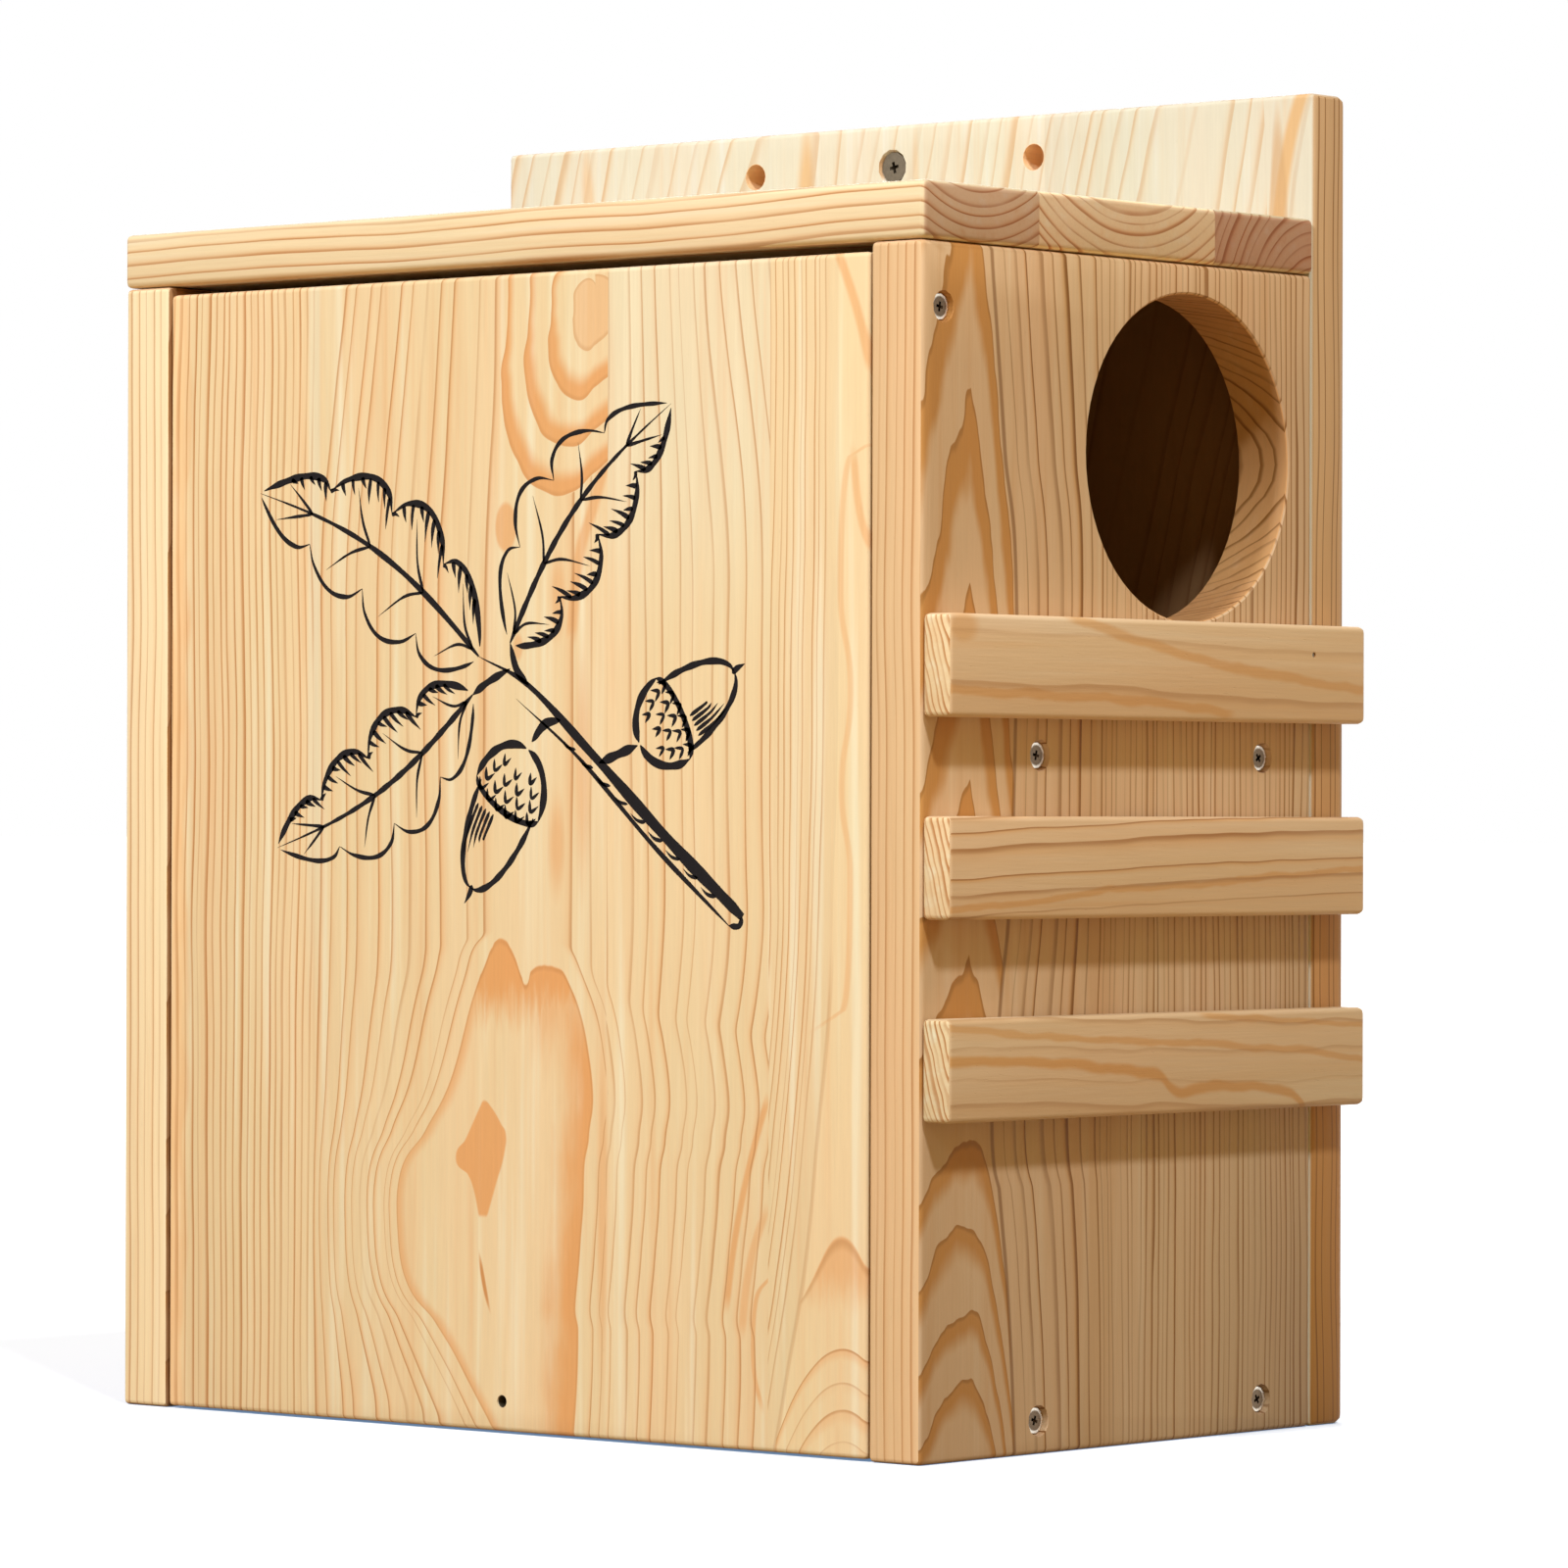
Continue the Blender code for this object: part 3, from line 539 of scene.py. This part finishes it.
def paint_side(wood):
    f = Finish("side_pine", 0.55)
    x, y, z = f.place()
    depth = SIDE_FACE - abs(x)
    right_hand = f.beyond(x, 0)
    bent = waved(f, y, z, 9.4, 1.6, 0.4) + depth * 0.4
    limit = f.trace(z, SIDE_BREAK)
    arches = 1 - f.beyond(bent, limit)
    before = f.math("MAXIMUM", SIDE_CREST - bent, 0)
    after = f.math("MAXIMUM", bent - SIDE_CREST, 0)
    upper = f.ease(z, 50, 190)
    fall = before * (before * 0.05 + upper * 2.2) + after * (after * 0.18 + upper * 3.5)
    ripple = f.noise(y / 6, z / 20, 4.9, 2) * (upper * 7 + 3.5)
    arch = f.trace(z + fall + ripple, SIDE_ARCHES)
    part = arch - f.math("FLOOR", arch)
    low = 0.5 - upper * 0.08
    drop = 1 - f.ease(part, 0.985, 1)
    fill = f.ease(part, low, low + 0.34 - upper * 0.06) * drop * arches
    outline = f.ease(part, 0.92, 0.97) * drop * arches
    beside = bent - (limit + 48) * f.ease(y, 5, -48) + 48
    uneven = f.noise(y / 7, 3.6, z / 300, 2) * f.ease(y, -20, -5) * 1.3
    rings = f.math("MAXIMUM", beside / 4.2, (beside - 31) / 2.2 + 7.38) + uneven + 60
    # The front edge is cut along the grain
    edge = f.beyond(SIDE_FRONT, y)
    straight = depth / 2.5 + f.noise(z / 70, 1.9, 0.2, 1) * 0.8 + 200
    rings = swapped(rings, straight, edge)
    # The entrance's wall, on the right side only. It is stained orange, and painted light makes it brighter
    # than its shade
    entry = right_hand * (1 - f.beyond(f.far(y - ENTRY_Y, z - ENTRY_Z), ENTRY_REACH))
    soft = spots(f, bent, z, [Spot(-18, 60, 13, 190, 0.7, 0.26)])
    stain = highest(f, (fill * 0.85, soft, entry * 0.6)) * (1 - edge)
    mark = highest(f, (outline * 0.45, f.ease(abs(bent - limit), 0.9, 0.3) * 0.7)) * (1 - edge)
    # Painted shade: the inner face takes the darker inner wood
    inside_painted_shade = f.beyond(depth, INNER_DEPTH)
    left = 1 - right_hand
    # Painted shade: darker towards the bottom, as the light falls, and lighter just under the lid. The side
    # also darkens towards the rear, most at its lower rear, and is lighter in a band at 150 mm
    shade = f.ramp(z, 0, 150) * 0.22 + f.ramp(z, 245, 272) * 0.16 - f.ramp(y, 10, 64) * 0.1
    shade = shade + entry * 0.24 + 0.78
    shade = shade + f.hump(z, 150, 20) * 0.06 - f.ease(y, 15, 50) * f.ease(z, 90, 20) * 0.08
    shade = swapped(shade, left * 0.1 + 0.95, edge)
    wood = Wood(*[
        f.blend(inside_painted_shade, f.blend(edge, own, f.blend(left, right_edge, left_edge)), inner)
        for own, right_edge, left_edge, inner in zip(wood, EDGE_WOOD, LID_WOOD, PAINTED_SHADE_INNER_WOOD)
    ])
    return pine(
        f, (1, 0, 2), rings, 51.0, wood, stain, mark, shade,
        wash_share=1.3 - edge * 0.7,
        thick=0.19 + f.ease(y, -22, -12) * 0.06,
        quiet=arches * (1 - edge),
        bold=1.0 - f.ease(y, -30, -5) * 0.16 - edge * 0.4,
    )


def paint_lid(wood):
    f = Finish("lid_pine", 0.58)
    x, y, z = f.place()
    normal = f.facing()
    past_front, past_rear = (f.beyond(y, place) for place in LID_JOINTS)
    lift = f.noise(x / 120, 3.3, 0.4, 1) * 3 + x * 0.01
    bent = waved(f, y, x, 21.0, 1.6, 0.6)
    high = z - lift
    rings = f.far(bent + 60, high - 312) / 2.6
    second = f.far(bent + 5, high - 318) / 2.7 + 60
    third = f.far(bent - 66, high - 258) / 2.8 + 120
    rings = swapped(rings, second, past_front)
    rings = swapped(rings, third, past_rear)
    end = f.beyond(abs(x), LID_END)
    # Painted shade: the top face is darker because it gets the most light; it also has less orange wash
    top = f.ease(normal[2], 0.5, 0.9)
    return pine(
        f, (1, 2, 0), rings, 71.0, wood,
        shade=1.03 + past_front * 0.32 * end - past_rear * 0.44 * end - end * 0.02 - top * 0.3,
        wash_share=1.4 - top * 0.8,
        ends=(0.34, 0.2 - past_front * 0.1 + past_rear * 0.2),
        bold=end * 0.2 + 0.62,
    )


# Soft orange patches on the backboard, and the streak and line near its right end, by height
BACK_SPOTS = [
    Spot(-32, 302, 4, 22, 0.8, 0.76),
    Spot(-106, 300, 3, 22, 0.7, 0.5),
    Spot(4, 300, 1.6, 22, 0.8, 0.4),
]
BACK_STREAK = [(284, 116), (300, 118.5), (316, 123.5)]
BACK_LINE = [(284, 119.5), (300, 122), (316, 126)]
# How orange the backboard's ends are, by height, and how dark, as painted shade that deepens towards the
# bottom
BACK_END_PAINTED_SHADE = [(0, 0.36), (120, 0.08), (220, 0.04), (315, 0.0)]
BACK_END_STAIN = [(0, 0.93), (120, 0.67), (200, 0.42), (290, 0.24)]


def paint_back(wood):
    f = Finish("back_pine", 0.55)
    x, y, z = f.place()
    normal = f.facing()
    depth = y - BACK_FACE
    past_joint = f.beyond(x, BACK_JOINTS[0])
    bent = waved(f, x, z, 33.0, 4.0, 0.8)
    lean = (z - 300) * 0.25
    rings = f.far(bent + 42 - lean, depth + 9 + f.ramp(z, 200, 315) * 9) / 5.2
    right = f.far(bent - 88 - lean, depth + 12) / 4.2 + 70
    rings = swapped(rings, right, past_joint)
    last = f.far(x - 116 + (bent - x) * 0.5, depth + 30 + z * 0.006) / 2.9 + 140
    rings = swapped(rings, last, f.beyond(bent, BACK_JOINTS[1]))
    marks = highest(f, (spots(f, bent, z, BACK_SPOTS), vein(f, z, x, BACK_STREAK, 3.2, 0.85)))
    end = f.ease(abs(normal[0]), 0.5, 0.9)
    # Painted shade: the backboard's face inside the house takes the darker inner wood
    inside_painted_shade = f.ease(z, 272.6, 271.8) * f.ease(abs(x), 112, 111) * (1 - f.beyond(depth, 1))
    upright = depth / 2.6 + f.noise(z / 80, 2.9, 0.6, 1) * 1.1 + 180
    rings = swapped(rings, upright, end)
    rear = f.ease(normal[1], 0.5, 0.9)
    hanging = middle_of("hanging_screw")
    # Painted light: the walls of the hanging holes take a wood brighter than their shade
    hole_painted_lighting = f.ease(f.far(abs(x - hanging.x) - HOLE_PITCH, z - hanging.z), 3.4, 3.2)
    warm = f.math("MAXIMUM", end, rear)
    wood = Wood(*[
        f.blend(hole_painted_lighting, f.blend(inside_painted_shade, f.blend(warm, own, side), inner), HOLE_PAINTED_LIGHT_WOOD)
        for own, side, inner in zip(wood, SIDE_WOOD, PAINTED_SHADE_INNER_WOOD)
    ])
    return pine(
        f, (0, 1, 2), rings, 91.0, wood,
        stain=swapped(marks, highest(f, (marks, f.trace(z, BACK_END_STAIN))), end),
        mark=vein(f, z, x, BACK_LINE, 0.9, 0.6) * (1 - end),
        shade=1 - end * f.trace(z, BACK_END_PAINTED_SHADE) - past_joint * (1 - end) * 0.08,
        wash_share=0.7 + end * 0.2,
        bold=end * 0.45 + 0.45,
    )


# Orange streaks along the slats: their run, half width and strength
SLAT_VEINS = [
    ([(-80, 172), (-30, 171), (20, 168)], 1.8, 0.6),
    ([(-34, 188), (0, 182), (30, 178), (75, 174)], 1.8, 0.55),
    ([(-80, 123), (-20, 127), (40, 130), (76, 132)], 1.2, 0.6),
    ([(-80, 97), (-20, 93), (28, 91), (75, 87)], 1.3, 0.6),
    ([(-80, 90), (-40, 88), (-5, 85), (4, 81), (25, 82), (50, 77)], 1.8, 0.75),
    ([(15, 98), (75, 95)], 1.1, 0.6),
]


def paint_slats(wood):
    f = Finish("slat_pine", 0.56)
    x, y, z = f.place()
    depth = SLAT_FACE - x
    past_low, past_middle = (f.beyond(z, place) for place in SLAT_GAPS)
    wander = f.noise(y / 38, z / 60, 4.4, 2) * 2.6
    low = f.far(z - 60 + wander + y * 0.03, depth + 8) / 6.5
    middle = f.far(z - 80 + wander * 0.5 - y * 0.03, depth + 20) / 4.4 + 40
    top = f.far(z - 148 + wander * 0.7 + y * 0.02, depth + 4) / 12.5 + 80
    rings = swapped(swapped(low, middle, past_low), top, past_middle)
    # Slanting years on the front ends
    front = f.ease(f.facing()[1] * -1, 0.5, 0.7)
    cut = (x + z * 0.3 + f.noise(x / 9, z / 9, 1.3, 1) * 1.2) / 1.5
    rings = swapped(rings, cut, front)
    high = z + f.noise(y / 14, z / 9, 2.6, 2) * 1.4
    stains = [spots(f, y, z, [Spot(-75, 186, 7, 5, 0.6, 0.5)])]
    stains += [vein(f, y, high, *streak) for streak in SLAT_VEINS]
    wood = Wood(*[f.blend(front, own, pale) for own, pale in zip(wood, DOOR_WOOD)])
    return pine(
        f, (2, 0, 1), rings, 111.0, wood,
        stain=highest(f, stains) * (1 - front),
        shade=0.86 + past_low * 0.09 + past_middle * 0.04 + front * 0.06,
        thick=front * 0.28 + 0.14,
        quiet=f.beyond(abs(z - 131), 22) * 0.6 * (1 - front),
        ends=(0.0, 0.0),
        bold=front * 0.15 + 0.85,
    )


def paint_inner(wood):
    f = Finish("inner_pine", 0.6)
    x, y, z = f.place()
    bent = waved(f, y, x, 41.0, 3.0, 0.7)
    rings = f.far(bent - 20, z * 0.6 + 30) / 3.6
    # Painted shade: the floor and shelf take the darker inner wood, shaded further by 0.94
    return pine(f, (1, 2, 0), rings, 131.0, wood, shade=0.94)


def smooth_path(points, steps=7):
    """A flowing line through points, as close-set points."""
    points = [Vector(point) for point in points]
    padded = [points[0] * 2 - points[1], *points, points[-1] * 2 - points[-2]]
    path = []
    for a, b, c, d in zip(padded, padded[1:], padded[2:], padded[3:]):
        for step in range(steps):
            t = step / steps
            bend = (a * 2 - b * 5 + c * 4 - d) * t * t + (b * 3 - a - c * 3 + d) * t * t * t
            path.append(b + ((c - a) * t + bend) / 2)
    path.append(points[-1])
    return path


def add_stroke(form, points, width, head=0.3, tail=0.3):
    """A brush stroke on the door: a thin closed ribbon, tapered over its head and tail shares."""
    path = smooth_path(points)
    last = len(path) - 1
    rows = []
    for index, point in enumerate(path):
        t = index / last
        along = (path[min(index + 1, last)] - path[max(index - 1, 0)]).normalized()
        aside = Vector((-along.y, along.x))
        taper = min(1, (t + 0.02) / head, (1.02 - t) / tail)
        wobble = 1 + 0.12 * math.sin(point.x * 0.9 + point.y * 0.7)
        half = aside * (width / 2 * math.sin(taper * math.pi / 2) * wobble)
        rows.append([
            form.verts.new(Vector((spot.x, depth, spot.y)) * MM)
            for spot, depth in zip(
                (point - half, point + half, point + half, point - half),
                (DOOR_FACE - INK_PROUD, DOOR_FACE - INK_PROUD, DOOR_FACE + INK_SUNK, DOOR_FACE + INK_SUNK),
            )
        ])
    for row, after in zip(rows, rows[1:]):
        for k in range(4):
            form.faces.new((row[k], row[(k + 1) % 4], after[(k + 1) % 4], after[k]))
    form.faces.new(rows[0][::-1])
    form.faces.new(rows[-1])


def add_leaf(form, base, tip, half_width, bow, lobes=4):
    """An oak leaf in outline, with its ribs and short shading strokes along one edge."""
    base, tip = Vector(base), Vector(tip)
    axis = tip - base
    aside = Vector((-axis.y, axis.x)).normalized()

    def at(t, share):
        swell = math.sin(math.pi * min(1, t ** 0.8)) ** 0.7
        scallop = 0.6 + 0.4 * abs(math.sin(math.pi * lobes * t)) ** 0.65
        return base + axis * t + aside * (bow * math.sin(math.pi * t) + half_width * swell * scallop * share)

    steps = lobes * 8
    for side in (-1, 1):
        for lobe in range(lobes):
            first, end = lobe * 8, lobe * 8 + 8
            edge = [at(max(0.01, min(0.99, k / steps)), side) for k in range(first, end + 1)]
            add_stroke(form, edge, 1.7 if side < 0 else 1.1, 0.25, 0.35)
            root = (lobe + 0.12) / lobes
            crown = (lobe + 0.62) / lobes
            rib = [at(root, 0), at((root + crown) / 2, side * 0.28), at(crown, side * 0.78)]
            add_stroke(form, rib, 0.8, 0.15, 0.8)
    add_stroke(form, [at(k / 8, 0) for k in range(9)], 1.5, 0.1, 0.7)
    for k in range(3, 30):
        t = k / 32
        length = 0.30 + 0.12 * math.sin(k * 2.3)
        hatch = [at(t, -0.98), at(t - 0.012, -0.98 + length * 0.5), at(t - 0.03, -0.98 + length)]
        add_stroke(form, hatch, 1.15, 0.12, 0.85)


def add_acorn(form, base, tip, half_width):
    """An acorn in outline: a scaly cup, a smooth nut with a small point, and shading strokes."""
    base, tip = Vector(base), Vector(tip)
    axis = tip - base
    aside = Vector((-axis.y, axis.x)).normalized() * half_width

    def at(along, across):
        return base + axis * along + aside * across

    def round_at(turn, start, reach, wide):
        angle = math.radians(turn)
        return at(start + reach * math.cos(angle), wide * math.sin(angle))

    for side in (-1, 1):
        add_stroke(form, [round_at(side * k * 11, 0.32, 0.6, 0.9) for k in range(9)][::-1], 1.5, 0.2, 0.3)
        add_stroke(form, [round_at(side * (90 + k * 11), 0.34, 0.32, 1.06) for k in range(9)], 1.9, 0.25, 0.2)
    add_stroke(form, [round_at(k * 20 - 80, 0.32, 0.10, 1.08) for k in range(9)], 1.6, 0.2, 0.2)
    add_stroke(form, [at(0.9, 0), at(0.95, 0.03), at(1.02, 0.0)], 1.6, 0.2, 0.8)
    for row in range(4):
        level = 0.33 - row * 0.075
        count = 6 - row
        for k in range(count):
            place = (k + 0.5) / count * 2 - 1
            wide = 0.98 * math.sqrt(max(0.05, 1 - ((0.34 - level) / 0.32) ** 2))
            bulge = 0.07 * (1 - place * place)
            scale = [
                at(level + bulge - 0.02, (place - 0.16) * wide),
                at(level + bulge + 0.035, place * wide),
                at(level + bulge - 0.02, (place + 0.16) * wide),
            ]
            add_stroke(form, scale, 0.95, 0.3, 0.4)
    for k in range(5):
        across = -0.72 + k * 0.13
        hatch = [at(0.47, across), at(0.62, across * 0.97), at(0.80 - k * 0.045, across * 0.8)]
        add_stroke(form, hatch, 0.9, 0.1, 0.8)


def make_print():
    """A sprig of oak printed in black on the door."""
    form = bmesh.new()
    add_leaf(form, (-8, 181), (-80, 221), 17, -6)
    add_leaf(form, (2, 184), (52, 238), 16, 6)
    add_leaf(form, (-10, 172), (-74, 136), 15, 5)
    add_acorn(form, (8, 160), (-12, 124), 10.5)
    add_acorn(form, (42, 160), (74, 178), 10.0)
    twig = [(74, 121), (52, 138), (28, 158), (8, 174), (-8, 181)]
    add_stroke(form, twig, 3.0, 0.05, 0.9)
    add_stroke(form, [(70, 119), (47, 137), (24, 157), (4, 171)], 1.2, 0.2, 0.6)
    add_stroke(form, [(74, 121), (73, 119), (70, 119)], 1.5, 0.3, 0.3)
    add_stroke(form, [(18, 166), (13, 165), (9, 161)], 2.2, 0.3, 0.3)
    add_stroke(form, [(30, 156), (36, 158), (42, 160)], 2.2, 0.3, 0.3)
    add_stroke(form, [(8, 174), (4, 178), (2, 184)], 1.8, 0.3, 0.3)
    add_stroke(form, [(2, 178), (-5, 175), (-10, 172)], 1.8, 0.3, 0.3)
    for k in range(9):
        x, z = 66 - k * 5.4, 125.5 + k * 4.2
        add_stroke(form, [(x, z), (x - 2.6, z + 0.6), (x - 4.6, z + 2.2)], 0.9, 0.2, 0.8)
    bmesh.ops.recalc_face_normals(form, faces=form.faces)
    mesh = bpy.data.meshes.new("oak_print")
    form.to_mesh(mesh)
    form.free()
    piece = bpy.data.objects.new("oak_print", mesh)
    bpy.context.scene.collection.objects.link(piece)
    mesh.materials.append(ink_finish())
    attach(piece, "door")


def ink_finish():
    """Black print that lies thin over the wood's fibres."""
    f = Finish("black_ink", 0.7)
    f.shader.inputs["Specular IOR Level"].default_value = INK_SHINE
    x, y, z = f.place()
    fibre = f.noise(x * 1.6, y, z / 8, 3, 0.6)
    worn = f.ease(fibre, 0.2, 0.8)
    f.colour(f.blend(worn * 0.5, INK, WORN_INK))
    f.roughness(fibre * 0.12 + 0.7)
    f.relief(fibre, FINE_RELIEF)
    return f.material


def metal_finish(name, colour, roughness):
    """Worn plated steel: cloudy, with fine scratches."""
    f = Finish(name, roughness, 1.0)
    x, y, z = f.place()
    cloud = f.noise(x * 0.9, y * 0.9, z * 0.9, 3)
    scratch = f.noise(x * 6, y * 6, z * 1.2, 3)
    shade = cloud * 0.25 + scratch * 0.15 + 1
    f.colour(f.tinted(colour, f.vector(shade, shade, shade)))
    f.roughness(cloud * 0.1 + scratch * 0.08 + roughness)
    f.relief(cloud + scratch, FINE_RELIEF)
    return f.material


def sunk_finish(screws):
    """Zinc heads sunk in the sides, each with a painted highlight for a bright rim round a middle darkened
    with painted shade.
    """
    f = Finish("sunk_zinc", 0.3, 1.0)
    x, y, z = f.place()
    reach = None
    for across, up in sorted({(round(screw[1], 2), round(screw[2], 2)) for screw in screws}):
        own = f.far(y - across, z - up)
        reach = own if reach is None else f.math("MINIMUM", reach, own)
    cloud = f.noise(x * 0.9, y * 0.9, z * 0.9, 3)
    worn = f.noise(x * 5, y * 5, z * 2, 3)
    # Painted highlight on the rim, painted shade in the middle
    rim = f.ease(reach + worn * 0.15, RIM_REACH - 0.5, RIM_REACH)
    shade = cloud * 0.2 + worn * 0.15 + 1
    f.colour(f.tinted(f.blend(rim, SUNK_PAINTED_SHADE, SUNK_PAINTED_HIGHLIGHT), f.vector(shade, shade, shade)))
    f.roughness(cloud * 0.1 + worn * 0.06 + 0.28)
    f.relief(cloud + worn, FINE_RELIEF)
    return f.material


def middle_of(name):
    """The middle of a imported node, in millimetres."""
    corners = [Vector(corner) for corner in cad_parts[name].bound_box]
    return sum(corners, Vector()) / (8 * MM)


def dress(names, material):
    """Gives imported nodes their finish."""
    for name in names:
        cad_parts[name].material_slots[0].material = material


def dress_all():
    dress(["front_door"], paint_door(DOOR_WOOD))
    dress(["left_side", "right_side"], paint_side(SIDE_WOOD))
    dress(["lid"], paint_lid(LID_WOOD))
    dress(["backboard"], paint_back(BACK_WOOD))
    dress(["slat_top", "slat_middle", "slat_bottom"], paint_slats(SLAT_WOOD))
    dress(["floor", "shelf"], paint_inner(PAINTED_SHADE_INNER_WOOD))
    screws = [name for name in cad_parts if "screw" in name]
    dress(screws, metal_finish("zinc", ZINC, 0.3))
    sunk = [name for name in screws if name.startswith(("pivot_screw", "floor_screw", "shelf_screw"))]
    dress(sunk, sunk_finish([middle_of(name) for name in sunk]))
    dress(["hanging_screw", "slat_pin"], metal_finish("dull_steel", DULL_STEEL, 0.42))


def make_smoother():
    """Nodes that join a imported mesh's triangles and shade its roundings smooth."""
    tree = bpy.data.node_groups.new("smooth_roundings", "GeometryNodeTree")
    tree.interface.new_socket("Geometry", in_out="INPUT", socket_type="NodeSocketGeometry")
    tree.interface.new_socket("Geometry", in_out="OUTPUT", socket_type="NodeSocketGeometry")
    start = tree.nodes.new("NodeGroupInput")
    end = tree.nodes.new("NodeGroupOutput")
    drop = tree.nodes.new("GeometryNodeRemoveAttribute")
    drop.inputs["Name"].default_value = "custom_normal"
    merge = tree.nodes.new("GeometryNodeMergeByDistance")
    merge.inputs["Distance"].default_value = MERGE_DISTANCE
    smooth = tree.nodes.new("GeometryNodeSetShadeSmooth")
    angle = tree.nodes.new("GeometryNodeInputMeshEdgeAngle")
    sharp = tree.nodes.new("FunctionNodeCompare")
    sharp.data_type = "FLOAT"
    sharp.operation = "GREATER_THAN"
    sharp.inputs[1].default_value = SMOOTH_ANGLE
    crease = tree.nodes.new("GeometryNodeSetShadeSmooth")
    crease.domain = "EDGE"
    crease.inputs["Shade Smooth"].default_value = False
    link = tree.links.new
    link(start.outputs[0], drop.inputs["Geometry"])
    link(drop.outputs[0], merge.inputs["Geometry"])
    link(merge.outputs[0], smooth.inputs[0])
    link(smooth.outputs[0], crease.inputs[0])
    link(angle.outputs["Unsigned Angle"], sharp.inputs[0])
    link(sharp.outputs[0], crease.inputs["Selection"])
    link(crease.outputs[0], end.inputs[0])
    return tree


def smooth_all():
    smoother = make_smoother()
    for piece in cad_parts.values():
        piece.modifiers.new("smooth_roundings", "NODES").node_group = smoother


def seen_plainly(tree):
    """1 where a ray comes from the camera, or from a mirror or glass, and 0 elsewhere."""
    path = tree.nodes.new("ShaderNodeLightPath")
    total = path.outputs["Is Camera Ray"]
    for name in ("Is Glossy Ray", "Is Transmission Ray"):
        join = tree.nodes.new("ShaderNodeMath")
        join.operation = "MAXIMUM"
        tree.links.new(total, join.inputs[0])
        tree.links.new(path.outputs[name], join.inputs[1])
        total = join.outputs[0]
    return total


def make_world():
    world = bpy.data.worlds.new("studio")
    bpy.context.scene.world = world
    world.use_nodes = True
    tree = world.node_tree
    tree.nodes.clear()
    light = tree.nodes.new("ShaderNodeBackground")
    light.inputs["Color"].default_value = (*WORLD_COLOUR, 1)
    light.inputs["Strength"].default_value = WORLD_STRENGTH
    white = tree.nodes.new("ShaderNodeBackground")
    white.inputs["Color"].default_value = (1, 1, 1, 1)
    white.inputs["Strength"].default_value = 1
    mix = tree.nodes.new("ShaderNodeMixShader")
    out = tree.nodes.new("ShaderNodeOutputWorld")
    tree.links.new(seen_plainly(tree), mix.inputs[0])
    tree.links.new(light.outputs[0], mix.inputs[1])
    tree.links.new(white.outputs[0], mix.inputs[2])
    tree.links.new(mix.outputs[0], out.inputs[0])


def make_floor():
    """A pale floor, which keeps the shadow and throws little light back up."""
    mesh = bpy.data.meshes.new("studio_floor")
    form = bmesh.new()
    bmesh.ops.create_grid(form, x_segments=1, y_segments=1, size=FLOOR_HALF)
    form.to_mesh(mesh)
    form.free()
    floor = bpy.data.objects.new("studio_floor", mesh)
    bpy.context.scene.collection.objects.link(floor)
    floor.location.z = -FLOOR_DROP * MM
    f = Finish("pale_floor", 0.9)
    f.shader.inputs["Specular IOR Level"].default_value = 0.0
    seen = Field(f, seen_plainly(f.tree))
    x, y = f.place()[:2]
    mottle = f.noise(x / 60, y / 60, 0.0, 2) * 0.01 + 1
    colour = f.tinted(FLOOR_COLOUR, f.vector(mottle, mottle, mottle))
    f.colour(f.blend(seen, FLOOR_DIM_COLOUR, colour))
    f.shader.inputs["Emission Color"].default_value = (*FLOOR_GLOW_COLOUR, 1)
    f.plug(f.shader.inputs["Emission Strength"], seen * FLOOR_GLOW)
    mesh.materials.append(f.material)


def make_camera():
    data = bpy.data.cameras.new("photo_camera")
    data.lens = CAMERA_LENS
    data.sensor_width = SENSOR_WIDTH
    data.sensor_fit = "HORIZONTAL"
    camera = bpy.data.objects.new("photo_camera", data)
    bpy.context.scene.collection.objects.link(camera)
    back = CAMERA_RIGHT.cross(CAMERA_UP)
    turn = Matrix((CAMERA_RIGHT, CAMERA_UP, back)).transposed()
    camera.rotation_mode = "QUATERNION"
    camera.rotation_quaternion = turn.to_quaternion()
    camera.location = CAMERA_PLACE
    bpy.context.scene.camera = camera


def make_lamps():
    """Far soft lamps: one high on the right, one high in front, and a weaker one behind on the left."""
    for name, towards, strength, colour in LAMPS:
        data = bpy.data.lights.new(name, "SUN")
        data.energy = strength
        data.angle = LAMP_SPREAD
        data.color = colour
        lamp = bpy.data.objects.new(name, data)
        bpy.context.scene.collection.objects.link(lamp)
        lamp.rotation_mode = "QUATERNION"
        lamp.rotation_quaternion = (-towards).to_track_quat("-Z", "Y")
        lamp.location = towards


bpy.context.scene.view_settings.view_transform = "Standard"
make_world()
make_floor()
make_camera()
make_lamps()
dress_all()
smooth_all()
make_print()
